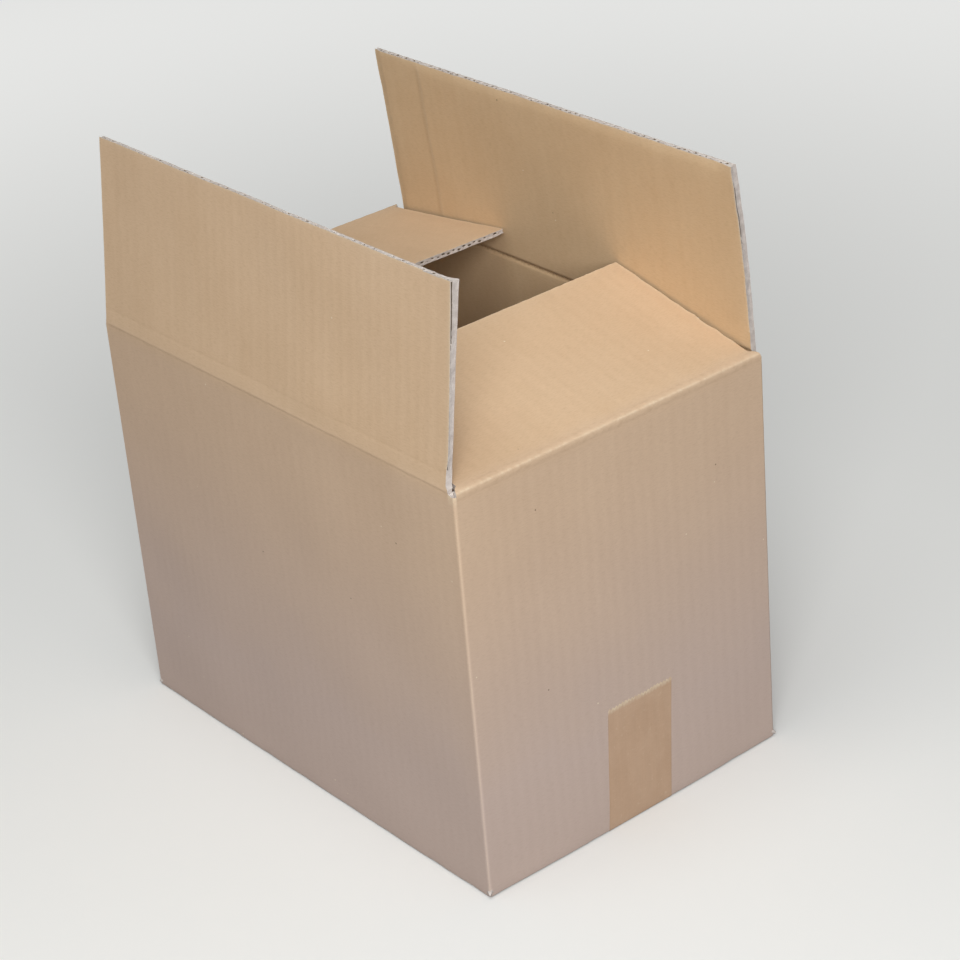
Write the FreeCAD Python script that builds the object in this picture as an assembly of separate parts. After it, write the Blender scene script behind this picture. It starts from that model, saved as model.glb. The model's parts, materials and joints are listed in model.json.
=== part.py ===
import FreeCAD, Part
import math
import os

os.makedirs("parts", exist_ok=True)

V = FreeCAD.Vector

# An open regular slotted carton of single-wall corrugated board, in millimetres.
# X runs along the long walls, Y across them, Z up. The origin is the middle of the underside.
length = 320.0              # outside of the short walls
width = 220.0               # outside of the long walls
height = 250.0              # floor to the folds of the four top flaps
board = 4.0                 # thickness of the board
corner_radius = 3.0         # outside of the three folded upright corners
bottom_radius = 2.5         # outside of the folds round the bottom

# Corrugated section of the board.
liner = 0.4                 # each flat face paper
medium = 0.35               # the waved paper between them
flute_pitch = 8.0           # one whole wave
flute_crown = 1.2           # flat top of a wave, glued to a liner
flute_bevel = 0.35          # rounding of a wave where it turns
crush_length = 9.0          # flutes are pressed shut this far from a score
short_pocket = 12.0         # depth to which the bottom flaps' edges show their flutes

# From the end of each flap that the knife cut to the middle of its last outward-opening flute.
front_cut = 2.2
rear_cut = 3.1
right_cut = 1.4
left_cut = 3.6
bottom_cut = 2.7

# Score lines of the two long top flaps: the inner face is pressed in along the fold.
crush_depth = 1.4
crush_height = 4.0
score_gap = 0.1             # running gap between a wall's top edge and the flap folded from it

# Top flaps.
flap_depth = 112.0          # fold to free edge
outer_end_setback = 5.0     # end of a long flap, in from the short wall's outer face
rear_left_setback = 8.5     # the same for the rear flap's left end, whose slot is wider
raw_end_setback = 0.5       # the front flap's left end, where the sheet ends and has no slot
inner_side_setback = 5.5    # side of a short flap at its fold, in from the long wall's outer face
flap_clearance = 0.35       # short flap's side to the leaning long flap beside it
front_lean = 7.1            # degrees that the front long flap leans inwards from upright
rear_lean = 5.2             # the same for the rear long flap
right_rise = 13.1           # degrees that the right short flap stands above level
left_rise = 7.4             # the same for the left short flap
left_fold_lift = 4.5        # the left short flap has bent this far above its score
ridge_radius = 3.0          # outside of the fold of a short flap

# Slots between the flaps end in the corners of the walls.
corner_drop = 1.0           # corner tops lie this far under the folds
tear_length = 3.6           # torn hole at the end of each slot, lying across the corner
tear_width = 2.0
tear_depth = 5.0
rebate_clearance = 0.5      # beside the fold of a short flap

# Bottom flaps, folded shut: the short ones inside, the long ones outside, meeting at the seam.
bottom_seam = 1.0           # between the two long flaps
bottom_layer_gap = 0.3      # between the inside and outside flaps
bottom_slot = 1.5           # ends and sides of the bottom flaps to the walls
bottom_flap_depth = 110.0   # of the short ones, from the wall's outer face

# Glue tab inside the front wall, at the corner where the sheet's two ends meet.
tab_length = 35.0
tab_thickness = 3.0
tab_taper = 9.0             # slanted top and bottom ends
tab_margin = 6.0            # short of the folds above and below
joint_gap = 1.0             # open line between the front wall's raw end and the left wall
joint_depth = 2.5

# Puckered points of liner at the ends of the bottom slots.
pucker_radius = 2.4
pucker_reach = 4.2
pucker_height = 4.5
pucker_inset = 1.9
pucker_lift = 0.2           # upward share of the way that a point leans

# Tape over the bottom seam, turned up both short walls.
tape_width = 48.0
tape_thickness = 0.15
tape_bed = 0.18             # depth that the tape presses into the board
tape_rise_right = 75.0      # up the right wall
tape_rise_left = 68.0
tape_shift_right = 1.3      # tape's middle off the seam where it leaves the underside
tape_shift_left = -2.6
tape_slant_right = 5.6      # sideways run up each wall
tape_slant_left = -2.0
tooth_pitch = 2.4           # saw-cut ends
tooth_depth = 1.2

half_length = length / 2
half_width = width / 2
inner_flap_top = 2 * board + bottom_layer_gap


def sin_deg(angle):
    return math.sin(math.radians(angle))


def cos_deg(angle):
    return math.cos(math.radians(angle))


def tan_deg(angle):
    return math.tan(math.radians(angle))


def box_between(low, high):
    size = [b - a for a, b in zip(low, high)]
    return Part.makeBox(size[0], size[1], size[2], V(*low))


def prism(points, direction):
    """A closed outline pushed along a direction."""
    outline = Part.makePolygon(points + [points[0]])
    return Part.Face(outline).extrude(direction)


def mirrored_x(shape):
    return shape.mirror(V(0, 0, 0), V(1, 0, 0))


def mirrored_y(shape):
    return shape.mirror(V(0, 0, 0), V(0, 1, 0))


def wall_top_under_short_flap(rise, lift):
    """Height of a short wall's top edge, where its inner corner meets the flap's underside."""
    return height + lift - board * tan_deg((90 - rise) / 2)


def carton_block(inset):
    """The carton's outside as a solid, drawn in on every face but the top by an inset."""
    block = box_between(
        (-half_length + inset, -half_width + inset, inset),
        (half_length - inset, half_width - inset, height),
    )
    folded = []
    for edge in block.Edges:
        start, end = edge.Vertexes[0].Point, edge.Vertexes[1].Point
        upright = abs(start.z - end.z) > 1
        raw_end = start.x < 0 and start.y < 0
        if upright and not raw_end:
            folded.append(edge)
    block = block.makeFillet(corner_radius - inset, folded)
    lower = [edge for edge in block.Edges if edge.BoundBox.ZMax < inset + 0.01]
    return block.makeFillet(bottom_radius - inset, lower)


def wall_sleeve():
    """The four walls: the rounded outside with the square inside taken out, end to end."""
    inside = box_between(
        (-half_length + board, -half_width + board, -1),
        (half_length - board, half_width - board, height + 1),
    )
    return carton_block(0).cut(inside)


def long_bottom_flap():
    """Front outside bottom flap, lying on the floor from the front wall to the seam."""
    reach = half_length - board - bottom_slot
    root_overlap = 1.0
    return box_between(
        (-reach, -half_width + board - root_overlap, 0),
        (reach, -bottom_seam / 2, board),
    )


def short_bottom_flap():
    """Right inside bottom flap, one board higher than the outside ones, fluted at its free edge."""
    reach = half_width - board - bottom_slot
    root_overlap = 1.0
    free_edge = half_length - bottom_flap_depth
    flap = box_between(
        (free_edge, -reach, board + bottom_layer_gap),
        (half_length - board + root_overlap, reach, inner_flap_top),
    )

    def at_free_edge(sideways, depth):
        return V(free_edge - 1, sideways, board + bottom_layer_gap + depth)

    return flap.cut(flutes(-reach, reach, bottom_cut, at_free_edge, V(short_pocket + 1, 0, 0)))


def glue_tab():
    """Tapered tab folded from the left wall and glued inside the front wall."""
    left = -half_length + board
    low = inner_flap_top + tab_margin
    high = height - board - tab_margin
    face = -half_width + board
    outline = [
        V(left - 1, face - 1, low),
        V(left + tab_length, face - 1, low + tab_taper),
        V(left + tab_length, face - 1, high - tab_taper),
        V(left - 1, face - 1, high),
    ]
    return prism(outline, V(0, tab_thickness + 1, 0))


def joint_line():
    """Open line down the left wall where the sheet's raw end shows."""
    near = -half_width + board
    return box_between(
        (-half_length - 1, near, -1),
        (-half_length + joint_depth, near + joint_gap, height + 1),
    )


def raised_wall_top(lift):
    """What of the right wall would stand above its score, under a flap that has bent higher up."""
    reach = half_width - inner_side_setback + rebate_clearance
    return box_between(
        (half_length - board, -reach, height - corner_drop),
        (half_length, reach, height + lift),
    )


def short_wall_rebate(rise, lift):
    """Room over the right wall for the root of its folded flap."""
    reach = half_width - inner_side_setback + rebate_clearance
    return box_between(
        (half_length - board - 1, -reach, wall_top_under_short_flap(rise, lift)),
        (half_length + 1, reach, height + lift + 1),
    )


def long_wall_score():
    """Pressed-in band along the inside of the front wall's top edge."""
    reach = half_length - board
    inner = -half_width + board
    outline = [
        V(-reach, inner, height - crush_height),
        V(-reach, inner - crush_depth, height),
        V(-reach, inner - crush_depth, height + 1),
        V(-reach, inner + 1, height + 1),
        V(-reach, inner + 1, height - crush_height),
    ]
    return prism(outline, V(2 * reach, 0, 0))


def slot_end(side_x, side_y):
    """Lowered top of one corner, with the torn hole at the slot's end."""
    step = box_between((half_length - outer_end_setback, half_width - inner_side_setback, height - corner_drop),
                       (half_length + 1, half_width + 1, height + 1))
    middle = V(half_length - board / 2, half_width - board / 2, height - tear_depth)
    outwards = V(1, 1, 0).normalize()
    across = V(-1, 1, 0).normalize()
    tear = [
        middle + outwards * (tear_length / 2),
        middle + across * (tear_width / 2),
        middle - outwards * (tear_length / 2),
        middle - across * (tear_width / 2),
    ]
    cut = step.fuse(prism(tear, V(0, 0, tear_depth + 1)))
    if side_x < 0:
        cut = mirrored_x(cut)
    if side_y < 0:
        cut = mirrored_y(cut)
    return cut


def pucker(side_x, side_y):
    """Small three-sided point of liner pushed out at a bottom corner."""
    foot = V(side_x * (half_length - pucker_inset), side_y * (half_width - pucker_inset), pucker_height)
    outwards = V(side_x, side_y, 0).normalize()
    sideways = V(-side_y, side_x, 0).normalize()
    tip = foot + (outwards + V(0, 0, pucker_lift)).normalize() * pucker_reach

    def triangle(centre, radius):
        corners = [
            centre + V(0, 0, radius),
            centre + sideways * radius - V(0, 0, radius),
            centre - sideways * radius - V(0, 0, radius),
        ]
        return Part.makePolygon(corners + [corners[0]])

    return Part.makeLoft([triangle(foot, pucker_radius), triangle(tip, pucker_radius / 8)], True, True)


def saw_cut(start, end, depth):
    """Points of a toothed edge from start to end, its teeth pointing up."""
    teeth = max(2, round(start.distanceToPoint(end) / tooth_pitch))
    step = (end - start) / teeth
    points = []
    for tooth in range(teeth):
        points.append(start + step * tooth)
        points.append(start + step * (tooth + 0.5) + V(0, 0, depth))
    points.append(end)
    return points


def tape_outline():
    """Everything within the tape's edges: over the underside and up both short walls."""
    half = tape_width / 2
    span = half_length + 1
    under = [
        V(-span, tape_shift_left - half, -1),
        V(span, tape_shift_right - half, -1),
        V(span, tape_shift_right + half, -1),
        V(-span, tape_shift_left + half, -1),
    ]
    zone = prism(under, V(0, 0, 1 + bottom_radius / 2))
    sides = (
        (1, tape_shift_right, tape_slant_right, tape_rise_right),
        (-1, tape_shift_left, tape_slant_left, tape_rise_left),
    )
    for side, shift, slant, rise in sides:
        top = rise - tooth_depth
        inner_x = side * (half_length - bottom_radius / 2)
        low_a = V(inner_x, shift - half, -1)
        low_b = V(inner_x, shift + half, -1)
        high_b = V(inner_x, shift + slant + half, top)
        high_a = V(inner_x, shift + slant - half, top)
        outline = [low_a, low_b] + saw_cut(high_b, high_a, tooth_depth)
        zone = zone.fuse(prism(outline, V(side * (1 + bottom_radius / 2), 0, 0)))
    return zone


def tape_skin(thickness):
    """Outer skin of the carton within the tape's edges."""
    return carton_block(0).common(tape_outline()).cut(carton_block(thickness))


def carton_body():
    """The folded sheet without its top flaps: walls, glue tab and taped bottom flaps."""
    body = wall_sleeve()
    front_flap = long_bottom_flap()
    right_flap = short_bottom_flap()
    for piece in (front_flap, mirrored_y(front_flap), right_flap, mirrored_x(right_flap), glue_tab()):
        body = body.fuse(piece)
    corners = [(x, y) for x in (-1, 1) for y in (-1, 1)]
    for corner in corners:
        body = body.fuse(pucker(*corner))
    body = body.fuse(mirrored_x(raised_wall_top(left_fold_lift)))
    cuts = [
        short_wall_rebate(right_rise, 0),
        mirrored_x(short_wall_rebate(left_rise, left_fold_lift)),
        long_wall_score(),
        mirrored_y(long_wall_score()),
        joint_line(),
        tape_skin(tape_bed),
        box_between((-length, -width, -height), (length, width, 0)),
    ]
    cuts += [slot_end(*corner) for corner in corners]
    return body.cut(cuts).removeSplitter()


def flute_section(centre, opens_outwards):
    """Cross-section of one flute as (along the score, in from the outer face) pairs.

    A flute is widest at the liner it opens on, and narrow over the crown of the wave behind it.
    """
    rise = board - 2 * liner - medium
    run = flute_pitch / 2 - flute_crown
    slant = run / rise
    half_wall = medium * math.hypot(run, rise) / rise / 2
    narrow = flute_crown / 2 + medium / 2 * slant - half_wall
    wide = flute_crown / 2 + (rise + medium / 2) * slant - half_wall
    tip_depth = liner + rise
    section = [
        (-wide + flute_bevel * slant, liner + flute_bevel),
        (-wide + 2 * flute_bevel, liner),
        (wide - 2 * flute_bevel, liner),
        (wide - flute_bevel * slant, liner + flute_bevel),
        (narrow, tip_depth),
        (-narrow, tip_depth),
    ]
    if not opens_outwards:
        section = [(along, board - depth) for along, depth in section]
    return [(centre + along, depth) for along, depth in section]


def flutes(low, high, cut_offset, place, direction):
    """Tunnels from a flap's free edge towards its score, side by side from one end to the other.

    The middle of the last flute lies cut_offset inside the high end. place turns
    (along the score, depth) at the free edge into a point in space.
    """
    tunnels = []
    count = int((high - low) / flute_pitch) + 3
    for wave in range(count):
        centre = high - cut_offset - (wave - 1) * flute_pitch
        for offset, opens_outwards in ((0, True), (flute_pitch / 2, False)):
            section = flute_section(centre + offset, opens_outwards)
            points = [place(along, depth) for along, depth in section]
            tunnels.append(prism(points, direction))
    return tunnels


def front_outer_flap(lean, left_setback, cut_offset):
    """Long flap of the front wall, standing up from the fold and leaning inwards."""
    along = V(0, sin_deg(lean), cos_deg(lean))
    inwards = V(0, cos_deg(lean), -sin_deg(lean))
    left = -half_length + left_setback
    right = half_length - outer_end_setback
    fold = V(left, -half_width, height)

    def root(depth):
        lift = (score_gap + depth * sin_deg(lean)) / cos_deg(lean)
        return fold + along * lift + inwards * depth

    outline = [
        root(0),
        fold + along * flap_depth,
        fold + along * flap_depth + inwards * board,
        fold + along * crush_height + inwards * board,
        root(board - crush_depth),
    ]
    flap = prism(outline, V(right - left, 0, 0))

    def at_free_edge(sideways, depth):
        return V(sideways, -half_width, height) + along * (flap_depth + 1) + inwards * depth

    return flap.cut(flutes(left, right, cut_offset, at_free_edge, along * (crush_length - flap_depth - 1)))


def side_setback_at_tip(rise, lift, lean):
    """Side set-back that a short flap needs at its free edge to clear the long flap beside it."""
    tip_height = lift + flap_depth * sin_deg(rise)
    return tip_height * tan_deg(lean) + board / cos_deg(lean) + flap_clearance


def right_inner_flap(rise, lift, front_trim, cut_offset):
    """Short flap of the right wall, folded in over the opening and springing up a little."""
    along = V(-cos_deg(rise), 0, sin_deg(rise))
    up = V(sin_deg(rise), 0, cos_deg(rise))
    fold = V(half_length, 0, height + lift)
    seat = wall_top_under_short_flap(rise, lift) + score_gap
    ridge = min(ridge_radius, 0.75 * board)
    tangent = ridge * tan_deg((90 - rise) / 2)
    ridge_centre = V(half_length - ridge, 0, fold.z - tangent)
    half_turn = (90 - rise) / 2
    ridge_top = ridge_centre + V(cos_deg(half_turn), 0, sin_deg(half_turn)) * ridge
    under_root = fold - up * board
    lower = under_root + along * ((seat - under_root.z) / along.z)

    ridge_start = V(half_length, 0, fold.z - tangent)
    ridge_end = fold + along * tangent
    tip = fold + along * flap_depth
    edges = [
        Part.makeLine(V(half_length, 0, seat), ridge_start),
        Part.Arc(ridge_start, ridge_top, ridge_end).toShape(),
        Part.makeLine(ridge_end, tip),
        Part.makeLine(tip, tip - up * board),
        Part.makeLine(tip - up * board, lower),
        Part.makeLine(lower, V(half_length, 0, seat)),
    ]
    profile = Part.Face(Part.Wire(edges))
    profile.translate(V(0, -half_width, 0))
    flap = profile.extrude(V(0, width, 0))

    front_root = -half_width + inner_side_setback + front_trim
    front_tip = -half_width + max(side_setback_at_tip(rise, lift, front_lean), inner_side_setback + front_trim)
    rear_root = half_width - inner_side_setback
    rear_tip = half_width - max(side_setback_at_tip(rise, lift, rear_lean), inner_side_setback)
    beyond = half_length - flap_depth - 1
    plan = [
        V(half_length + 1, front_root, height - board - 1),
        V(half_length + 1, rear_root, height - board - 1),
        V(beyond, rear_tip, height - board - 1),
        V(beyond, front_tip, height - board - 1),
    ]
    flap = flap.common(prism(plan, V(0, 0, flap_depth)))

    def at_free_edge(sideways, depth):
        return V(half_length, sideways, fold.z) + along * (flap_depth + 1) - up * depth

    tunnels = flutes(front_tip, rear_tip, cut_offset, at_free_edge, along * (crush_length - flap_depth - 1))
    return flap.cut(tunnels)


nodes = {
    "carton_body": carton_body(),
    "front_outer_flap": front_outer_flap(front_lean, raw_end_setback, front_cut),
    "rear_outer_flap": mirrored_y(front_outer_flap(rear_lean, rear_left_setback, rear_cut)),
    "right_inner_flap": right_inner_flap(right_rise, 0, 0, right_cut),
    "left_inner_flap": mirrored_x(right_inner_flap(left_rise, left_fold_lift, tab_thickness, left_cut)),
    "bottom_tape": tape_skin(tape_thickness),
}

for name, shape in nodes.items():
    solids = shape.Solids
    assert len(solids) == 1 and shape.isValid(), name + " is not one sound solid"
    solids[0].exportStep("parts/" + name + ".step")
    print(name, "volume", round(shape.Volume), "mm3")
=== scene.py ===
import json
import math

import bmesh
import bpy
import numpy as np
from mathutils import Matrix, Vector


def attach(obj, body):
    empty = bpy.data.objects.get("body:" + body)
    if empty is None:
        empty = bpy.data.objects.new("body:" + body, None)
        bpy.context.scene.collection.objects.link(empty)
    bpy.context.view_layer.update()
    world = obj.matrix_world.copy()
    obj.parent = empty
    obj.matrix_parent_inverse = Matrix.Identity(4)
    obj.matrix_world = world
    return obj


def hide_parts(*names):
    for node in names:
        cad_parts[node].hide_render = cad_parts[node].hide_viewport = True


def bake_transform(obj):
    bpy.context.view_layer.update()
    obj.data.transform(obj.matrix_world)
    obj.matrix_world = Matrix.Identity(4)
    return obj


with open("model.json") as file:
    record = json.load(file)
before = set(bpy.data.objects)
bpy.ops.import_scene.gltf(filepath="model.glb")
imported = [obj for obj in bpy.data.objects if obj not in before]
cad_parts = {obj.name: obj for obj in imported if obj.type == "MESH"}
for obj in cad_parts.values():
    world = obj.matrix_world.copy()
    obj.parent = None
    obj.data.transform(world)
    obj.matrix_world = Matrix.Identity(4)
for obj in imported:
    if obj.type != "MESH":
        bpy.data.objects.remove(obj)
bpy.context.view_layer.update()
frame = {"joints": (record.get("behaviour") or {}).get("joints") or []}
print("frame loaded")

# Everything below is drawn in millimetres; a mesh turns into metres when it is made.
metre = 1000.0
foldAt = {joint["name"]: [metre * value for value in joint["pos_m"]] for joint in frame["joints"]}

carton = {
    "board": 4.0,
    "liner": 0.4,
    "medium": 0.35,
    "pitch": 8.0,               # one whole flute
    "columnsPerFlute": 6,
    "cornerRadius": 1.6,
    "bottomRadius": 1.0,
    "wallTop": 236.0,           # the walls end here, and the pressed folds carry on upwards
    "foldReach": 12.0,          # a pressed fold ends this far up its flap
    "innerFloor": 8.3,          # top of the inside bottom flaps
}
board = carton["board"]
halfWidth = -foldAt["front_flap_fold"][1]
halfLength = foldAt["right_flap_fold"][0] + board
height = foldAt["front_flap_fold"][2]


def sideOf(name, flapBody, node, fold, outward, along, face, turn, ends, tip, **more):
    pivot = foldAt[fold]
    reach = abs(sum(a * b for a, b in zip(pivot, outward)))
    side = {
        "name": name, "body": flapBody, "node": node, "outward": np.array(outward, float),
        "along": np.array(along, float), "face": face, "pivotDepth": face - reach,
        "pivotHeight": pivot[2], "turn": math.radians(turn), "ends": ends, "tip": tip,
    }
    side.update(more)
    return side


# ends are the flap's two ends at its fold, tip the same at its free edge. depth is measured from the
# pivot to the free edge, bow how far the flap curves at its two ends, and ragged how unevenly they are cut.
# touch is where the medium touches the outer liner, skew how far that runs sideways up to the free edge.
# crushTip is the share of the thickness that the knife has pressed away along the free edge, leftThick and
# rightThick what is left of it at the two ends (at the fold, halfway and at the free edge), keepTip how far
# the free edge's right corner stays open, gap where the right end's flute shows, rolled the width and share
# of a stretch that a roller has flattened, lip how far the fold runs on past the flap's ends, and bulge
# how far the wall's foot stands out.
sides = {
    "front": sideOf(
        "front", "front_flap", "front_outer_flap", "front_flap_fold", (0, -1, 0), (1, 0, 0), halfWidth,
        7.1, (-halfLength + 0.5, halfLength - 5.0), (-halfLength + 0.5, halfLength - 5.0),
        depth=112.0, touch=155.9, skew=-0.5, bow=(0.3, 0.5), ragged=(0.25, 0.3), seed=11,
        halfSpan=halfLength, crushTip=0.22, leftThick=(0.85, 0.85, 0.9), rightThick=(0.78, 0.95, 1.42),
        keepTip=1.0, bulge=0.4,
        gap=("outer", 72.0, 125.0), rolled=(0.0, 0.0), lip=(0.0, 0.0),
    ),
    "rear": sideOf(
        "rear", "rear_flap", "rear_outer_flap", "rear_flap_fold", (0, 1, 0), (1, 0, 0), halfWidth,
        5.2, (-halfLength + 9.6, halfLength - 5.0), (-halfLength + 8.5, halfLength - 5.0),
        depth=112.0, touch=152.2, skew=0.9, bow=(-0.5, -1.6), ragged=(0.3, 0.4), seed=23,
        halfSpan=halfLength, crushTip=0.24, leftThick=(0.8, 0.8, 0.75), rightThick=(0.92, 1.0, 1.08),
        keepTip=0.6, bulge=0.3,
        gap=("inner", 62.0, 103.0), rolled=(40.0, 0.17), lip=(0.0, 0.0),
    ),
    "right": sideOf(
        "right", "right_flap", "right_inner_flap", "right_flap_fold", (1, 0, 0), (0, 1, 0), halfLength,
        76.9, (-halfWidth + 5.5, halfWidth - 5.5), (-halfWidth + 7.6, halfWidth - 5.75),
        depth=112.0, touch=103.0, skew=0.4, bow=(0.4, 0.3), ragged=(0.4, 1.5), seed=37, halfSpan=halfWidth,
        crushTip=0.24, leftThick=(0.8, 0.8, 0.8), rightThick=(0.8, 0.8, 0.8), keepTip=0.0, bulge=1.0,
        gap=("inner", 40.0, 90.0), rolled=(0.0, 0.0), lip=(3.9, 3.9),
    ),
    "left": sideOf(
        "left", "left_flap", "left_inner_flap", "left_flap_fold", (-1, 0, 0), (0, 1, 0), halfLength,
        82.6, (-halfWidth + 8.5, halfWidth - 5.5), (-halfWidth + 8.5, halfWidth - 6.2),
        depth=112.0, touch=101.0, skew=0.3, bow=(0.3, 0.4), ragged=(0.35, 0.5), seed=41, halfSpan=halfWidth,
        crushTip=0.26, leftThick=(0.8, 0.8, 0.8), rightThick=(0.8, 0.8, 0.8), keepTip=0.0, bulge=0.5,
        gap=("outer", 30.0, 60.0), rolled=(0.0, 0.0), lip=(0.0, 3.9),
    ),
}


# Where each wall lies on the unrolled sheet: its middle, and which way its own coordinate runs.
for name, middle, direction in (("front", 0, 1), ("right", halfLength + halfWidth, 1),
                                ("rear", 2 * (halfLength + halfWidth), -1),
                                ("left", 3 * (halfLength + halfWidth), -1)):
    sides[name]["sheetMiddle"], sides[name]["sheetDirection"] = middle, direction


def sheetCoordinate(x, y):
    # Distance round the unrolled sheet of a point on the walls.
    longSide = np.abs(y) - halfWidth > np.abs(x) - halfLength
    long = np.where(y < 0, x, sides["rear"]["sheetMiddle"] - x)
    short = np.where(x > 0, sides["right"]["sheetMiddle"] + y, sides["left"]["sheetMiddle"] - y)
    return np.where(longSide, long, short)


def ease(t):
    t = np.clip(t, 0, 1)
    return t * t * (3 - 2 * t)


def waves(x, y, size, seed, count=8):
    # Smooth unevenness from about -1 to 1, in bumps about size across.
    draw = np.random.RandomState(seed)
    angles = draw.uniform(0, math.tau, count)
    phases = draw.uniform(0, math.tau, count)
    stretches = draw.uniform(0.7, 1.6, count)
    total = 0
    for angle, phase, stretch in zip(angles, phases, stretches):
        distance = x * math.cos(angle) + y * math.sin(angle)
        total = total + np.sin(distance * math.tau / (size * stretch) + phase)
    return total / math.sqrt(count) * 0.8


def pressedLine(s, at, width):
    return np.exp(-((s - at) / width) ** 2)


relief = {
    "washboard": 0.07,          # liner sunk between two flutes
    "dents": 0.28,              # broad unevenness of a face
    "dentSize": 95.0,
    "calmCorner": 14.0,         # no unevenness this near to a corner or an end
    "calmScore": 9.0,           # flutes are pressed flat this near to a score
    "scoreDepth": 0.1,          # the creasing wheel's lower line
    "scoreWidth": 0.75,
    "upperDepth": 0.06,         # and its upper one
    "upperWidth": 1.1,
    "bandRise": 0.05,           # the band between them stands proud
    "ridgeRound": 0.07,         # how blunt the ridge of a short flap's fold is
    "innerCrush": 0.9,          # the inner face is pressed in along the fold
    "innerReach": 2.6,
}


def scoreLines(side):
    # Heights of the lower and upper pressed line, from the pivot, on the flat sheet.
    return (-1.2, 9.4) if side["pivotDepth"] < 1 else (-5.2, 7.6)


def foldAngle(side, s):
    # How far the sheet has turned at a distance s from the pivot.
    zone = bendZone(side)
    return side["turn"] * ease((s + zone) / (2 * zone))


def outerRelief(side, u, s):
    # Depth of the outer face below a true plane, on the flat sheet; s is measured from the pivot.
    lower, upper = scoreLines(side)
    flatHeight = side["pivotHeight"] + s
    calm = ease((side["halfSpan"] - 1.0 - np.abs(u)) / relief["calmCorner"])
    fluted = 1 - ease(1 - np.abs(s - 2) / relief["calmScore"])
    lean = side["skew"] * np.clip(s, 0, None) / side["depth"]
    wash = relief["washboard"] * (1 - np.cos(math.tau * (u - side["touch"] - lean) / carton["pitch"])) / 2
    dents = relief["dents"] * waves(u, flatHeight, relief["dentSize"], side["seed"])
    broken = 0.7 + 0.3 * waves(u, 0 * u, 13.0, side["seed"] + 1)
    score = relief["scoreDepth"] * pressedLine(s, lower, relief["scoreWidth"]) * broken
    above = relief["upperDepth"] * pressedLine(s, upper, relief["upperWidth"])
    above = above * (0.7 + 0.3 * waves(u, 0 * u, 21.0, side["seed"] + 2))
    band = -relief["bandRise"] * ease((s - lower) / 1.5) * ease((upper - s) / 1.5)
    ridge = 0
    if side["pivotDepth"] > 1:
        score, above, band = 0, 0, 0
        half = side["turn"] / 2
        mitre = half - np.sqrt((foldAngle(side, s) - half) ** 2 + relief["ridgeRound"] ** 2)
        full = side["pivotDepth"] * (1 / np.cos(np.clip(mitre, 0, None)) - 1)
        ridge = -full * (0.86 + 0.1 * waves(u, 0 * u, 6.0, side["seed"] + 3))
    near = ease((side["halfSpan"] - 0.5 - np.abs(u)) / 5.0)
    return (wash * fluted + dents * (0.25 + 0.75 * fluted)) * calm + (score + above + band) * near + ridge


def innerRelief(side, u, s):
    # Height of the inner face's pressing and waviness, counted outwards from its own plane.
    calm = ease((side["halfSpan"] - 5.0 - np.abs(u)) / relief["calmCorner"])
    fluted = 1 - ease(1 - np.abs(s - 1) / relief["calmScore"])
    wash = relief["washboard"] * (1 + np.cos(math.tau * (u - side["touch"]) / carton["pitch"])) / 2
    dents = -relief["dents"] * waves(u, side["pivotHeight"] + s, relief["dentSize"], side["seed"])
    crush = relief["innerCrush"] * ease(1 - np.abs(s) / relief["innerReach"])
    crush = crush * (0.93 + 0.07 * waves(u, 0 * u, 15.0, side["seed"] + 4))
    return (wash * fluted + dents * (0.25 + 0.75 * fluted)) * calm + crush


def bendZone(side):
    return 2.0 if side["pivotDepth"] < 1 else 1.3


def place(side, u, s, depth):
    # A point of the flat sheet (u along the score, s across it from the pivot, depth in from the outer
    # face) goes to its place on the folded carton.
    u, s, depth = np.broadcast_arrays(np.asarray(u, float), np.asarray(s, float), np.asarray(depth, float))
    angle = foldAngle(side, s)
    share = np.clip((u - side["ends"][0]) / (side["ends"][1] - side["ends"][0]), 0, 1)
    up = np.clip(s / side["depth"], 0, 1)
    bow = (side["bow"][0] + (side["bow"][1] - side["bow"][0]) * share) * np.sin(math.pi * up)
    inward = depth + bow - side["pivotDepth"]
    turnedIn = inward * np.cos(angle) + s * np.sin(angle)
    turnedUp = -inward * np.sin(angle) + s * np.cos(angle)
    reach = side["face"] - side["pivotDepth"] - turnedIn
    return (reach[..., None] * side["outward"] + u[..., None] * side["along"]
            + (turnedUp + side["pivotHeight"])[..., None] * np.array((0, 0, 1.0)))


def flapReach(side):
    # Distance from the pivot to the free edge.
    return side["depth"] - 0.03 - side["pivotDepth"] * math.tan(side["turn"] / 2)


def flapEnds(side, s):
    # The flap's two ends at each distance from the fold.
    up = np.clip(s / side["depth"], 0, 1)
    low = side["ends"][0] + (side["tip"][0] - side["ends"][0]) * up
    high = side["ends"][1] + (side["tip"][1] - side["ends"][1]) * up
    return low, high


def squeeze(side, u, s):
    # What is left of the thickness where the knife and the rollers have pressed the flutes.
    reach = flapReach(side)
    low, high = flapEnds(side, s)
    begin = ease(s / 4.0)
    uneven = 1 + 0.18 * waves(u + 0 * s, s + 0 * u, 21.0, side["seed"] + 15)
    openCorner = side["keepTip"] * ease(1 - (high - u) / 12.0)
    tip = side["crushTip"] * ease(1 - (reach - s) / 4.5) * uneven * (1 - openCorner)
    width, share = side["rolled"]
    line = low + width + 0.6 * waves(s + 0 * u, 0 * s + 0 * u, 60.0, side["seed"] + 16)
    rolled = share * ease((line - u) / 7.0 + 0.5) * begin if width else 0
    thick = 1 - np.maximum(tip, rolled)
    marks = (0.15 * reach, 0.6 * reach, reach)
    for thickness, inset in ((side["leftThick"], u - low), (side["rightThick"], high - u)):
        thick = thick * (1 + (np.interp(s, marks, thickness) - 1) * ease(1 - inset / 7.0) * begin * uneven)
    return thick


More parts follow.
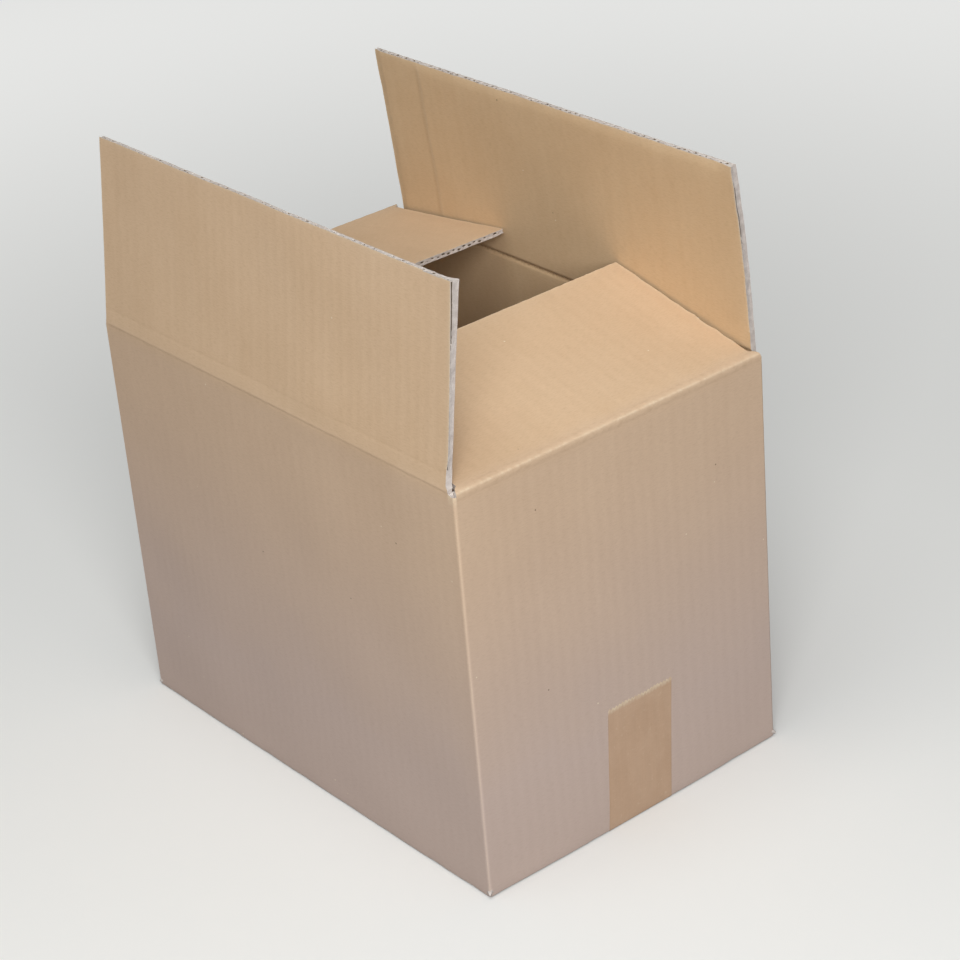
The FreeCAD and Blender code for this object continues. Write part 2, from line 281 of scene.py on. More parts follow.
wallFoot = {
    "swellHigh": 45.0,          # a wall's foot stands out up to about this height
    "swellLong": 70.0,          # and comes to nothing over this length at its corners
    "lift": 0.45,               # the bottom edge waves this far up and in
    "liftSize": 26.0,
    "liftHigh": 9.0,
    "tapeHalf": 28.0,           # the tape holds the edge straight this far from the seam
    # painted highlight down the middle of the walls' rounded corners:
    "cornerHighlight": 0.3,
    "edgePale": 0.35,
}


def wallBulge(side, u, z):
    # How far the foot of a wall stands out of its true plane.
    along = ease((side["halfSpan"] - np.abs(u)) / wallFoot["swellLong"])
    return side["bulge"] * along * np.exp(-(np.asarray(z) / wallFoot["swellHigh"]) ** 2)


def columnsBetween(low, high, step=None):
    # Points along a score: on one lattice for the whole carton, so that neighbours meet.
    step = step or carton["pitch"] / carton["columnsPerFlute"]
    inside = np.arange(math.ceil((low + 0.3) / step), math.floor((high - 0.3) / step) + 1) * step
    return np.concatenate([[low], inside, [high]])


class Sheet:
    # A mesh under construction. Each point keeps its place on the flat sheet, how pale it is from wear and
    # painted highlight, and how dark from pressing and painted crease shade; each face keeps which of the
    # piece's materials it has.
    def __init__(self):
        self.points, self.flat, self.worn, self.pressedAndShaded = [], [], [], []
        self.faces, self.kinds = [], []
        self.count = 0

    def add(self, points, faces, kinds, flat=None, worn=0.0, pressedAndShaded=0.0):
        points = np.asarray(points, float).reshape(-1, 3)
        number = len(points)
        self.points.append(points)
        self.flat.append(points if flat is None else np.asarray(flat, float).reshape(-1, 3))
        self.worn.append(np.broadcast_to(np.asarray(worn, float).ravel(), (number,)))
        self.pressedAndShaded.append(np.broadcast_to(np.asarray(pressedAndShaded, float).ravel(), (number,)))
        self.faces += [[corner + self.count for corner in face] for face in faces]
        self.kinds += list(kinds)
        self.count += number

    def finish(self, name, materials, sharpAngle=32.0, merge=1e-7):
        mesh = bpy.data.meshes.new(name)
        mesh.from_pydata(np.concatenate(self.points) / metre, [], self.faces)
        for material in materials:
            mesh.materials.append(material)
        mesh.polygons.foreach_set("material_index", self.kinds)
        for label, kind, values in (("flat", "FLOAT_VECTOR", self.flat), ("worn", "FLOAT", self.worn),
                                    ("pressedAndShaded", "FLOAT", self.pressedAndShaded)):
            field = "vector" if kind == "FLOAT_VECTOR" else "value"
            layer = mesh.attributes.new(label, kind, "POINT")
            layer.data.foreach_set(field, np.concatenate(values).astype(np.float32).ravel())
        tidy = bmesh.new()
        tidy.from_mesh(mesh)
        bmesh.ops.remove_doubles(tidy, verts=tidy.verts, dist=merge)
        bmesh.ops.dissolve_degenerate(tidy, dist=merge, edges=tidy.edges)
        bmesh.ops.recalc_face_normals(tidy, faces=tidy.faces)
        tidy.to_mesh(mesh)
        tidy.free()
        mesh.shade_smooth()
        mesh.set_sharp_from_angle(angle=math.radians(sharpAngle))
        made = bpy.data.objects.new(name, mesh)
        bpy.context.scene.collection.objects.link(made)
        return made


def gridFaces(rows, columns, start=0, around=False):
    faces = []
    last = columns if around else columns - 1
    for row in range(rows - 1):
        for column in range(last):
            following = (column + 1) % columns
            faces.append((start + row * columns + column, start + row * columns + following,
                          start + (row + 1) * columns + following, start + (row + 1) * columns + column))
    return faces


def addSlab(sheet, outer, inner, flatOuter, flatInner, worn=0.0, pressedAndShaded=0.0, kinds=(0, 1, 2)):
    # A closed slab between two grids of points; its four rims have the last kind.
    rows, columns = outer.shape[:2]
    half = rows * columns
    faces = gridFaces(rows, columns) + gridFaces(rows, columns, half)
    labels = [kinds[0]] * ((rows - 1) * (columns - 1)) + [kinds[1]] * ((rows - 1) * (columns - 1))
    rim = list(range(columns))
    rim += [row * columns + columns - 1 for row in range(1, rows)]
    rim += [(rows - 1) * columns + column for column in range(columns - 2, -1, -1)]
    rim += [row * columns for row in range(rows - 2, 0, -1)]
    for here, following in zip(rim, rim[1:] + rim[:1]):
        faces.append((here, following, following + half, here + half))
        labels.append(kinds[2])
    both = np.concatenate([outer.reshape(-1, 3), inner.reshape(-1, 3)])
    flat = np.concatenate([flatOuter.reshape(-1, 3), flatInner.reshape(-1, 3)])
    shape = (2,) + outer.shape[:2]
    wornBoth = np.broadcast_to(np.asarray(worn, float), shape) if np.ndim(worn) else worn
    pressedBoth = np.broadcast_to(np.asarray(pressedAndShaded, float), shape) if np.ndim(pressedAndShaded) else pressedAndShaded
    sheet.add(both, faces, labels, flat, wornBoth, pressedBoth)


def flatPlace(side, u, s, inner):
    # Sheet coordinates for the materials: along, up, and one number for each face.
    u, s = np.broadcast_arrays(u, s)
    roundSheet = side["sheetMiddle"] + side["sheetDirection"] * u
    return np.stack([roundSheet, s + side["pivotHeight"], np.full(u.shape, 1000.0 if inner else 0.0)], -1)


def raggedEnds(side, s):
    # The knife's unevenness along a flap's two ends, always inwards from the true line.
    begin = ease(s / 3.0)
    left = side["ragged"][0] * (0.5 + 0.5 * waves(s, 0 * s, 14.0, side["seed"] + 5)) * begin
    right = side["ragged"][1] * (0.5 + 0.5 * waves(s, 0 * s, 11.0, side["seed"] + 6)) * begin
    return np.clip(left, 0, 1), np.clip(right, 0, 1)


def spreadColumns(side, s, tornRoot=0.0):
    # A grid of u values: the root's columns, drawn in to the flap's ends at each row.
    rootLow, rootHigh = side["ends"]
    root = columnsBetween(rootLow, rootHigh)
    low, high = flapEnds(side, s)
    left, right = raggedEnds(side, s)
    if tornRoot:
        right = right + tornRoot * ease((s - 0.5) / 2.0) * ease((17.0 - s) / 9.0)
    onFold = ease((1.9 - s) / 2.2)
    low = low + left - side["lip"][0] * onFold
    high = high - right + side["lip"][1] * onFold
    share = (root - rootLow) / (rootHigh - rootLow)
    u = low[:, None] + (high - low)[:, None] * share[None, :]
    lattice = root[None, :] + 0 * u
    middle = ease(np.minimum(share, 1 - share) * (rootHigh - rootLow) / 10.0)
    return u * (1 - middle) + lattice * middle if side["pivotDepth"] < 1 else u


print("sheet maths ready")


class Shade:
    # One socket of a material's nodes, which sums and products can be written with.
    def __init__(self, tree, socket=None):
        self.tree, self.socket = tree, socket

    def node(self, kind, settings=None, values=None, output=0):
        made = self.tree.nodes.new(kind)
        for name, value in (settings or {}).items():
            setattr(made, name, value)
        for key, value in (values or {}).items():
            if isinstance(value, Shade):
                self.tree.links.new(value.socket, made.inputs[key])
            else:
                made.inputs[key].default_value = value
        return Shade(self.tree, made.outputs[output])

    def calc(self, operation, other):
        return self.node("ShaderNodeMath", {"operation": operation}, {0: self, 1: other})

    def __add__(self, other):
        return self.calc("ADD", other)

    def __radd__(self, other):
        return self.calc("ADD", other)

    def __sub__(self, other):
        return self.calc("SUBTRACT", other)

    def __rsub__(self, other):
        return self.node("ShaderNodeMath", {"operation": "SUBTRACT"}, {0: other, 1: self})

    def __mul__(self, other):
        return self.calc("MULTIPLY", other)

    def __rmul__(self, other):
        return self.calc("MULTIPLY", other)

    def above(self, low, high):
        # 0 under low, 1 over high, smooth between.
        return self.node("ShaderNodeMapRange", {"interpolation_type": "SMOOTHSTEP"},
                         {"Value": self, "From Min": low, "From Max": high})

    def mix(self, first, second):
        # This value is the share of the second colour.
        return self.node("ShaderNodeMix", {"data_type": "RGBA", "clamp_factor": True},
                         {0: self, 6: first, 7: second}, 2)

    def stretch(self, scale):
        return self.node("ShaderNodeMapping", None, {"Vector": self, "Scale": scale})

    def noise(self, scale, detail=2.0, rough=0.5):
        return self.node("ShaderNodeTexNoise", None, {"Vector": self, "Scale": scale, "Detail": detail,
                                                      "Roughness": rough})


def newMaterial(name):
    material = bpy.data.materials.new(name)
    material.use_nodes = True
    tree = material.node_tree
    surface = tree.nodes["Principled BSDF"]
    return material, Shade(tree), surface


def wire(shade, surface, name):
    shade.tree.links.new(shade.socket, surface.inputs[name])


def rgb(red, green, blue):
    # A colour as it is seen, 0 to 255, turned into the shader's own numbers.
    linear = [((c / 255 + 0.055) / 1.055) ** 2.4 for c in (red, green, blue)]
    return (*linear, 1.0)


kraft = {
    "outer": rgb(220, 190, 157),
    "outerDeep": rgb(212, 181, 147),
    "inner": rgb(216, 187, 150),
    "innerDeep": rgb(208, 177, 139),
    "paintedBounceGrey": rgb(204, 183, 171),        # painted bounce light: the outer faces grey towards the foot of the walls
    "paintedBounceShare": 0.95,
    "pale": rgb(232, 214, 186),         # rubbed ridges, and the painted highlights on the walls' corners and the rear flap's roller crease
    "press": rgb(150, 118, 86),         # pressed lines, and the painted shade in the inner crease of each fold
    "speckDark": rgb(92, 72, 55),
    "speckPale": rgb(236, 222, 200),
    "roughness": 0.86,
    "bump": 0.35,
}


def kraftLiner(name, light, deep, paintedBounceShare):
    material, shade, surface = newMaterial(name)
    flat = shade.node("ShaderNodeAttribute", {"attribute_name": "flat"}, output=1)
    worn = shade.node("ShaderNodeAttribute", {"attribute_name": "worn"}, output=2)
    pressedAndShaded = shade.node("ShaderNodeAttribute", {"attribute_name": "pressedAndShaded"}, output=2)
    parts = flat.tree.nodes.new("ShaderNodeSeparateXYZ")
    flat.tree.links.new(flat.socket, parts.inputs[0])
    up = Shade(flat.tree, parts.outputs[1])

    cloud = flat.noise(0.017, 3.0)                                      # broad clouds of tone
    mottle = flat.noise(0.11, 4.0, 0.6)
    fibre = flat.stretch((0.28, 1.5, 1)).noise(1.0, 4.0, 0.65)          # fibres lie along the scores
    streak = flat.stretch((0.13, 0.006, 1)).noise(1.0, 2.0)             # bands that follow the flutes
    grain = flat.noise(2.3, 3.0, 0.7)

    tone = cloud.above(0.32, 0.68) * 0.42 + mottle.above(0.3, 0.7) * 0.22
    tone = tone + streak.above(0.3, 0.7) * 0.2 + fibre.above(0.3, 0.7) * 0.3
    colour = tone.mix(light, deep)
    # Painted bounce light and shade: the outer liner greys towards the floor, and the walls a little more than
    # the flaps above them.
    paintedBounce = (1 - up.above(-10.0, 262.0)) * paintedBounceShare + (1 - up.above(240.0, 256.0)) * paintedBounceShare * 0.22
    colour = (paintedBounce * (0.85 + 0.3 * cloud)).mix(colour, kraft["paintedBounceGrey"])
    colour = (fibre.above(0.42, 0.8) * 0.16).mix(colour, kraft["press"])
    colour = (grain.above(0.62, 0.8) * 0.13).mix(colour, kraft["pale"])

    speck = flat.node("ShaderNodeTexVoronoi", None, {"Vector": flat, "Scale": 0.085})
    chance = flat.node("ShaderNodeTexVoronoi", None, {"Vector": flat, "Scale": 0.085}, 1)
    pick = chance.node("ShaderNodeSeparateColor", None, {0: chance})
    small = 1 - speck.above(0.03, 0.055)
    colour = (small * pick.above(0.86, 0.87) * 0.8).mix(colour, kraft["speckPale"])
    colour = (small * (1 - pick.above(0.06, 0.07)) * 0.7).mix(colour, kraft["speckDark"])

    patch = flat.stretch((0.5, 0.9, 1)).noise(1.0, 3.0, 0.6)
    # Pressed lines darken here, and so does the painted shade along the folds' inner creases.
    colour = (pressedAndShaded * (0.35 + 0.9 * patch.above(0.35, 0.65))).mix(colour, kraft["press"])
    # Pale from rubbing, and from the painted highlights on the walls' corners and the rear flap's roller
    # crease.
    colour = (worn * (0.3 + 0.9 * patch.above(0.3, 0.7))).mix(colour, kraft["pale"])
    wire(colour, surface, "Base Color")

    rough = kraft["roughness"] - 0.08 * mottle + 0.05 * grain
    wire(rough, surface, "Roughness")
    bumpHeight = fibre * 0.6 + grain * 0.4 + mottle * 0.5
    bump = bumpHeight.node("ShaderNodeBump", None, {"Strength": kraft["bump"], "Distance": 0.00022,
                                                    "Height": bumpHeight})
    wire(bump, surface, "Normal")
    surface.inputs["Specular IOR Level"].default_value = 0.28
    return material


cutPaper = {
    "light": rgb(216, 207, 200),
    "deep": rgb(186, 175, 168),
    "shadow": rgb(132, 119, 109),
}


def greyPaper(name, light, deep, shadow):
    # Recycled paper of the flutes and of every cut edge: pale grey, full of short fibres.
    material, shade, surface = newMaterial(name)
    place3d = shade.node("ShaderNodeTexCoord", output=3)
    clump = place3d.noise(260.0, 3.0)
    fibre = place3d.stretch((900, 900, 2400)).noise(1.0, 4.0, 0.7)
    colour = (clump.above(0.3, 0.7) * 0.6 + fibre.above(0.35, 0.7) * 0.4).mix(light, deep)
    colour = (fibre.above(0.6, 0.75) * 0.35).mix(colour, shadow)
    wire(colour, surface, "Base Color")
    wire(0.88 + 0.08 * clump, surface, "Roughness")
    bump = fibre.node("ShaderNodeBump", None, {"Strength": 0.5, "Distance": 0.0002, "Height": fibre})
    wire(bump, surface, "Normal")
    surface.inputs["Specular IOR Level"].default_value = 0.25
    return material


tapeFilm = {
    "film": rgb(202, 170, 142),
    "filmDeep": rgb(189, 155, 126),
    "edge": rgb(150, 118, 90),
    "pale": rgb(224, 204, 176),
    "roughness": 0.42,
}


def brownTape(name):
    material, shade, surface = newMaterial(name)
    flat = shade.node("ShaderNodeAttribute", {"attribute_name": "flat"}, output=1)
    worn = shade.node("ShaderNodeAttribute", {"attribute_name": "worn"}, output=2)
    pressedAndShaded = shade.node("ShaderNodeAttribute", {"attribute_name": "pressedAndShaded"}, output=2)
    cloud = flat.noise(0.06, 3.0)
    bubble = flat.noise(0.35, 3.0, 0.6)                              # where the glue hasn't taken
    draw = flat.stretch((1.1, 0.03, 1)).noise(1.0, 3.0)              # drawn streaks along the strip
    fibre = flat.stretch((0.3, 1.4, 1)).noise(1.0, 3.0, 0.6)         # the paper's fibres show through
    tone = cloud.above(0.3, 0.7) * 0.4 + draw.above(0.35, 0.65) * 0.12 + fibre.above(0.35, 0.7) * 0.25
    colour = tone.mix(tapeFilm["film"], tapeFilm["filmDeep"])
    colour = (bubble.above(0.6, 0.75) * 0.25).mix(colour, tapeFilm["pale"])
    colour = (pressedAndShaded * 0.7).mix(colour, tapeFilm["edge"])
    colour = (worn * (0.5 + 0.7 * bubble.above(0.35, 0.65))).mix(colour, tapeFilm["pale"])
    wire(colour, surface, "Base Color")
    wire(tapeFilm["roughness"] + 0.12 * bubble - 0.06 * cloud, surface, "Roughness")
    relief3 = draw * 0.2 + bubble * 0.6
    bump = relief3.node("ShaderNodeBump", None, {"Strength": 0.3, "Distance": 0.00018, "Height": relief3})
    wire(bump, surface, "Normal")
    surface.inputs["Specular IOR Level"].default_value = 0.4
    return material


kraftOuter = kraftLiner("kraftOuter", kraft["outer"], kraft["outerDeep"], kraft["paintedBounceShare"])
kraftInner = kraftLiner("kraftInner", kraft["inner"], kraft["innerDeep"], 0.0)
cutEdge = greyPaper("cutEdge", cutPaper["light"], cutPaper["deep"], cutPaper["shadow"])
tornShadow = greyPaper("tornShadow", rgb(120, 104, 84), rgb(92, 78, 62), rgb(60, 48, 38))
flutePaper = greyPaper("flutePaper", rgb(214, 206, 190), rgb(184, 174, 156), rgb(130, 116, 98))
packingTape = brownTape("packingTape")
boardMaterials = [kraftOuter, kraftInner, cutEdge]
print("materials made")


def cartonWalls():
    # The four walls as one folded sheet, open at the raw end where the tab is glued.
    sheet = Sheet()
    radius = carton["cornerRadius"]
    groove = 1.0
    outer, normal, inner, owner, alongU = [], [], [], [], []

    def run(name, start, end):
        side = sides[name]
        backwards = end < start
        us = columnsBetween(min(start, end), max(start, end))
        for u in us[::-1] if backwards else us:
            outer.append(side["outward"][:2] * side["face"] + side["along"][:2] * u)
            normal.append(side["outward"][:2])
            limit = side["halfSpan"] - board
            inside = np.clip(u, -limit, limit)
            inner.append(side["outward"][:2] * (side["face"] - board) + side["along"][:2] * inside)
            owner.append(name)
            alongU.append(u)

    def corner(sideX, sideY, startAngle, steps=6):
        centre = np.array([sideX * (halfLength - radius), sideY * (halfWidth - radius)])
        for step in range(1, steps):
            angle = math.radians(startAngle + 90 * step / steps)
            direction = np.array([math.cos(angle), math.sin(angle)])
            outer.append(centre + radius * direction)
            normal.append(direction)
            inner.append(np.array([sideX * (halfLength - board), sideY * (halfWidth - board)]))
            owner.append("corner")
            alongU.append(sideX * halfLength)

    run("front", -halfLength, halfLength - radius)
    corner(1, -1, -90)
    run("right", -halfWidth + radius, halfWidth - radius)
    corner(1, 1, 0)
    run("rear", halfLength - radius, -halfLength + radius)
    corner(-1, 1, 90)
    run("left", halfWidth - radius, -halfWidth + board + groove)
    outer, normal, inner = np.array(outer), np.array(normal), np.array(inner)
    alongU = np.array(alongU)
    owner = np.array(owner)
    middleOfCorner = [index for index in range(1, len(owner) - 1)
                      if owner[index] == "corner" and owner[index - 2:index + 3].tolist() == ["corner"] * 5]

    bend = carton["bottomRadius"]
    lower = [(bend * (1 - math.sin(turn)), bend * (1 - math.cos(turn)))
             for turn in np.linspace(0, math.pi / 2, 6)]
    zs = np.array([z for _, z in lower] + list(np.arange(6.0, 30.0, 4.0))
                  + list(np.linspace(32.0, carton["wallTop"], 22)))
    drawn = np.array([offset for offset, _ in lower] + [0.0] * (len(zs) - len(lower)))
    rows, columns = len(zs), len(alongU)
    outerGrid = np.zeros((rows, columns, 3))
    innerGrid = np.zeros((rows, columns, 3))
    flatOuter = np.zeros((rows, columns, 3))
    flatInner = np.zeros((rows, columns, 3))
    worn = np.zeros((rows, columns))
    for index in range(columns):
        side = sides.get(owner[index])
        depthOut, depthIn = np.zeros(rows), np.zeros(rows)
        seed = 60.0
        if side is not None:
            s = zs - side["pivotHeight"]
            foot = ease((zs - 2.0) / 14.0)
            depthOut = outerRelief(side, alongU[index] + 0 * s, s) * foot
            depthIn = innerRelief(side, alongU[index] + 0 * s, s) * foot
            seed = side["seed"]
        wave = waves(np.array(alongU[index]), np.array(0.0), wallFoot["liftSize"], int(seed) + 7)
        wavy = wallFoot["lift"] * max(0.0, float(wave))
        calm = 1.0 if side is None else float(ease((side["halfSpan"] - 4.0 - abs(alongU[index])) / 10.0))
        if owner[index] in ("right", "left"):
            calm *= float(ease((abs(alongU[index]) - wallFoot["tapeHalf"]) / 8.0))
        lift = wavy * calm * np.clip(1 - zs / wallFoot["liftHigh"], 0, 1)
        swell = wallBulge(side, alongU[index], zs) if side is not None else 0 * zs
        inwards = depthOut + drawn + 0.4 * lift - swell
        outerGrid[:, index, :2] = outer[index] - normal[index] * inwards[:, None]
        outerGrid[:, index, 2] = zs + lift * 0.5
        shift = normal[index] * (depthIn + swell)[:, None] if side is not None else 0
        innerGrid[:, index, :2] = inner[index] + shift
        innerGrid[:, index, 2] = zs
        roundSheet = np.full(rows, float(sheetCoordinate(*outer[index])))
        flatOuter[:, index] = np.stack([roundSheet, zs, np.zeros(rows)], -1)
        flatInner[:, index] = np.stack([roundSheet, zs, np.full(rows, 1000.0)], -1)
        # Painted highlight down the middle of each rounded corner of the walls.
        if index in middleOfCorner:
            worn[:, index] = wallFoot["cornerHighlight"] + 0.12 * waves(zs, 0 * zs, 40.0, 61)
    worn[:3] = np.maximum(worn[:3], wallFoot["edgePale"])
    addSlab(sheet, outerGrid, innerGrid, flatOuter, flatInner, np.stack([worn, 0 * worn]))
    return sheet.finish("cartonWalls", boardMaterials)


def foldRows(side):
    zone = bendZone(side)
    below = np.arange(carton["wallTop"] - side["pivotHeight"], -zone - 0.5, 1.1)
    bend = np.linspace(-zone, zone, 31)
    above = np.linspace(zone + 0.7, carton["foldReach"], 12)
    return np.concatenate([below, bend, above])


foldWearAndShade = {
    "scoreDark": 0.15,
    "upperDark": 0.08,
    "bandPale": 0.04,
    "ridgePale": 0.55,          # a short flap's fold is rubbed along its ridge
    # painted shade along the inner crease of each fold:
    "insideCreaseShade": 0.6,
}


def pressedFold(side, tornRoot=0.0):
    # The creased board between a wall and its flap, pressed solid and drawn bent to the flap's angle.
    sheet = Sheet()
    s = foldRows(side)
    u = spreadColumns(side, s, tornRoot)
    uInner = spreadColumns(side, s)
    sGrid = s[:, None] + 0 * u
    outer = place(side, u, sGrid, outerRelief(side, u, sGrid))
    thick = squeeze(side, uInner, sGrid)
    inner = place(side, uInner, sGrid, (board - innerRelief(side, uInner, sGrid)) * thick)
    lower, upper = scoreLines(side)
    broken = np.clip(0.25 + 0.8 * waves(u, sGrid * 0, 17.0, side["seed"] + 8), 0, 1)
    pressedOut = foldWearAndShade["scoreDark"] * pressedLine(sGrid, lower, 0.6) * broken
    pressedOut = pressedOut + foldWearAndShade["upperDark"] * pressedLine(sGrid, upper, 0.9)
    wornOut = foldWearAndShade["bandPale"] * ease((sGrid - lower) / 1.0) * ease((upper - sGrid) / 1.0)
    if side["pivotDepth"] > 1:
        ridgeWave = 0.6 + 0.4 * waves(u, sGrid * 0, 6.0, side["seed"] + 9)
        wornOut = foldWearAndShade["ridgePale"] * pressedLine(sGrid, 0.0, 0.2) * ridgeWave
        pressedOut = 0 * sGrid
    # Painted shade along the inner crease of the fold.
    creaseShadeIn = foldWearAndShade["insideCreaseShade"] * pressedLine(sGrid, 0, 1.4)
    worn = np.stack([np.clip(wornOut, 0, 1), 0 * wornOut])
    pressedAndShaded = np.stack([np.clip(pressedOut, 0, 1), creaseShadeIn])
    flat, flatInner = flatPlace(side, u, sGrid, False), flatPlace(side, uInner, sGrid, True)
    addSlab(sheet, outer, inner, flat, flatInner, worn, pressedAndShaded)
    made = sheet.finish(side["name"] + "Fold", boardMaterials)
    start = place(side, 0.0, -bendZone(side), 0.0)
    end = place(side, 0.0, bendZone(side), 0.0)
    tuple(start / metre)
    tuple(end / metre)
    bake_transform(made)
    return made


linerEdge = {
    "nick": 0.14,               # unevenness of the free edge
    "nickSize": 5.0,
    "curl": 0.35,
    "pale": 0.55,               # rubbed along all edges
    "paleReach": 0.9,
    "creaseHighlight": 0.2,          # painted highlight along the line where a roller stopped
}


def flapBoard(side, tornRoot=0.0):
    # The two liners of a flap; flapFlutes makes the medium between them.
    sheet = Sheet()
    reach = flapReach(side)
    s = np.concatenate([[carton["foldReach"]], np.arange(15.0, reach - 5.0, 6.0),
                        reach - np.array([3.0, 1.0, 0.3, 0.0])])
    liner = carton["liner"]
    for inner in (False, True):
        u = spreadColumns(side, s, 0.0 if inner else tornRoot)
        sGrid = s[:, None] + 0 * u
        nick = linerEdge["nick"] * waves(u, 0 * u, linerEdge["nickSize"], side["seed"] + (12 if inner else 10))
        nick = nick + 0.12
        sGrid = sGrid - np.clip(nick, 0, 1) * ease((sGrid - reach + 2.0) / 2.0)
        uneven = 0.3 + 0.3 * waves(u, 0 * u, 30.0, side["seed"] + 13)
        curl = linerEdge["curl"] * ease((sGrid - reach + 3.0) / 3.0) * uneven
        if inner:
            depth = innerRelief(side, u, sGrid)
            outside = place(side, u, sGrid, (board - depth) * squeeze(side, u, sGrid))
            hidden = place(side, u, sGrid, (board - liner - depth * 0.6) * squeeze(side, u, sGrid))
        else:
            depth = outerRelief(side, u, sGrid)
            outside = place(side, u, sGrid, depth + curl * 0.4)
            hidden = place(side, u, sGrid, liner + depth * 0.6 + curl * 0.4)
        edge = np.minimum(np.minimum(u - u.min(1)[:, None], u.max(1)[:, None] - u), reach - sGrid)
        worn = linerEdge["pale"] * (1 - ease(edge / linerEdge["paleReach"])) + 0.1 * (1 - ease(edge / 5.0))
        # Painted highlight along the crease where the rolled stretch stops.
        if inner and side["rolled"][0]:
            stopped = u.min(1)[:, None] + side["rolled"][0] + 1.5
            worn = worn + linerEdge["creaseHighlight"] * pressedLine(u, stopped, 1.2)
        flat = flatPlace(side, u, sGrid, inner)
        kinds = (1, 2, 2) if inner else (0, 2, 2)
        addSlab(sheet, outside, hidden, flat, flat, np.stack([worn, 0 * worn]), 0.0, kinds)
    made = sheet.finish(side["name"] + "Flap", boardMaterials)
    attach(made, side["body"])
    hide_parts(side["node"])
    return made


def flutingTree():
    # A wave-shaped sheet of paper, its crests level with the two liners, made solid and closed.
    tree = bpy.data.node_groups.new("fluting", "GeometryNodeTree")
    socket = tree.interface.new_socket
    for label, kind, value in (("Width", "NodeSocketFloat", 300.0), ("Length", "NodeSocketFloat", 100.0),
                               ("Pitch", "NodeSocketFloat", 8.0), ("Rise", "NodeSocketFloat", 2.9),
                               ("Steepness", "NodeSocketFloat", 1.3),
                               ("Thickness", "NodeSocketFloat", 0.35),
                               ("Touch", "NodeSocketFloat", 0.0), ("Skew", "NodeSocketFloat", 0.0),
                               ("Points across", "NodeSocketInt", 400),
                               ("Points along", "NodeSocketInt", 4)):
        socket(name=label, in_out="INPUT", socket_type=kind).default_value = value
    socket(name="Paper", in_out="INPUT", socket_type="NodeSocketMaterial")
    socket(name="Geometry", in_out="OUTPUT", socket_type="NodeSocketGeometry")
    nodes, links = tree.nodes, tree.links
    given = nodes.new("NodeGroupInput").outputs

    def node(kind, settings=None, values=None, output=0):
        made = nodes.new(kind)
        for name, value in (settings or {}).items():
            setattr(made, name, value)
        for key, value in (values or {}).items():
            if isinstance(value, bpy.types.NodeSocket):
                links.new(value, made.inputs[key])
            else:
                made.inputs[key].default_value = value
        return made.outputs[output]

    def calc(operation, *values):
        return node("ShaderNodeMath", {"operation": operation}, dict(enumerate(values)))

    grid = node("GeometryNodeMeshGrid", None, {"Size X": given["Width"], "Size Y": given["Length"],
                                               "Vertices X": given["Points across"],
                                               "Vertices Y": given["Points along"]})
    position = node("GeometryNodeInputPosition")
    split = nodes.new("ShaderNodeSeparateXYZ")
    links.new(position, split.inputs[0])
    across, upwards = split.outputs[0], split.outputs[1]
    leaning = calc("MULTIPLY", upwards, given["Skew"])
    fromTouch = calc("SUBTRACT", calc("SUBTRACT", across, given["Touch"]), leaning)
    turns = calc("DIVIDE", fromTouch, given["Pitch"])
    wave = calc("MULTIPLY", calc("COSINE", calc("MULTIPLY", turns, math.tau)), given["Steepness"])
    wave = calc("MAXIMUM", calc("MINIMUM", wave, 1.0), -1.0)
    depth = calc("MULTIPLY", calc("MULTIPLY", calc("SUBTRACT", 1.0, wave), 0.5), given["Rise"])
    target = node("ShaderNodeCombineXYZ", None, {0: across, 1: upwards, 2: depth})
    wavy = node("GeometryNodeSetPosition", None, {"Geometry": grid, "Position": target})
    thick = node("GeometryNodeExtrudeMesh", {"mode": "FACES"},
                 {"Mesh": wavy, "Offset Scale": given["Thickness"], "Individual": False})
    back = node("GeometryNodeFlipFaces", None, {"Mesh": wavy})
    both = nodes.new("GeometryNodeJoinGeometry")
    links.new(thick, both.inputs[0])
    links.new(back, both.inputs[0])
    closed = node("GeometryNodeMergeByDistance", None, {"Geometry": both.outputs[0], "Distance": 0.0001})
    real = node("GeometryNodeRealizeInstances", None, {"Geometry": closed})
    done = node("GeometryNodeSetMaterial", None, {"Geometry": real, "Material": given["Paper"]})
    links.new(done, nodes.new("NodeGroupOutput").inputs[0])
    return tree


fluting = flutingTree()


def grown(tree, name, values):
    # What a node tree makes from these inputs, as a plain mesh in its own units.
    carrier = bpy.data.objects.new(name + "Grower", bpy.data.meshes.new(name + "Seed"))
    bpy.context.scene.collection.objects.link(carrier)
    modifier = carrier.modifiers.new(name, "NODES")
    modifier.node_group = tree
    for item in tree.interface.items_tree:
        if item.item_type == "SOCKET" and item.in_out == "INPUT" and item.name in values:
            modifier[item.identifier] = values[item.name]
    graph = bpy.context.evaluated_depsgraph_get()
    mesh = bpy.data.meshes.new_from_object(carrier.evaluated_get(graph))
    carrier.modifiers.clear()
    bpy.data.objects.remove(carrier)
    return mesh


def meshPoints(mesh):
    found = np.zeros(len(mesh.vertices) * 3, np.float32)
    mesh.vertices.foreach_get("co", found)
    return found.reshape(-1, 3).astype(float)


def placeMesh(mesh, name, points, body):
    # The grown mesh with its points moved to their real places, as a piece that rides on a body.
    mesh.name = name
    mesh.vertices.foreach_set("co", (points / metre).astype(np.float32).ravel())
    tidy = bmesh.new()
    tidy.from_mesh(mesh)
    bmesh.ops.recalc_face_normals(tidy, faces=tidy.faces)
    tidy.to_mesh(mesh)
    tidy.free()
    mesh.shade_smooth()
    mesh.set_sharp_from_angle(angle=math.radians(50))
    made = bpy.data.objects.new(name, mesh)
    bpy.context.scene.collection.objects.link(made)
    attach(made, body)
    return made


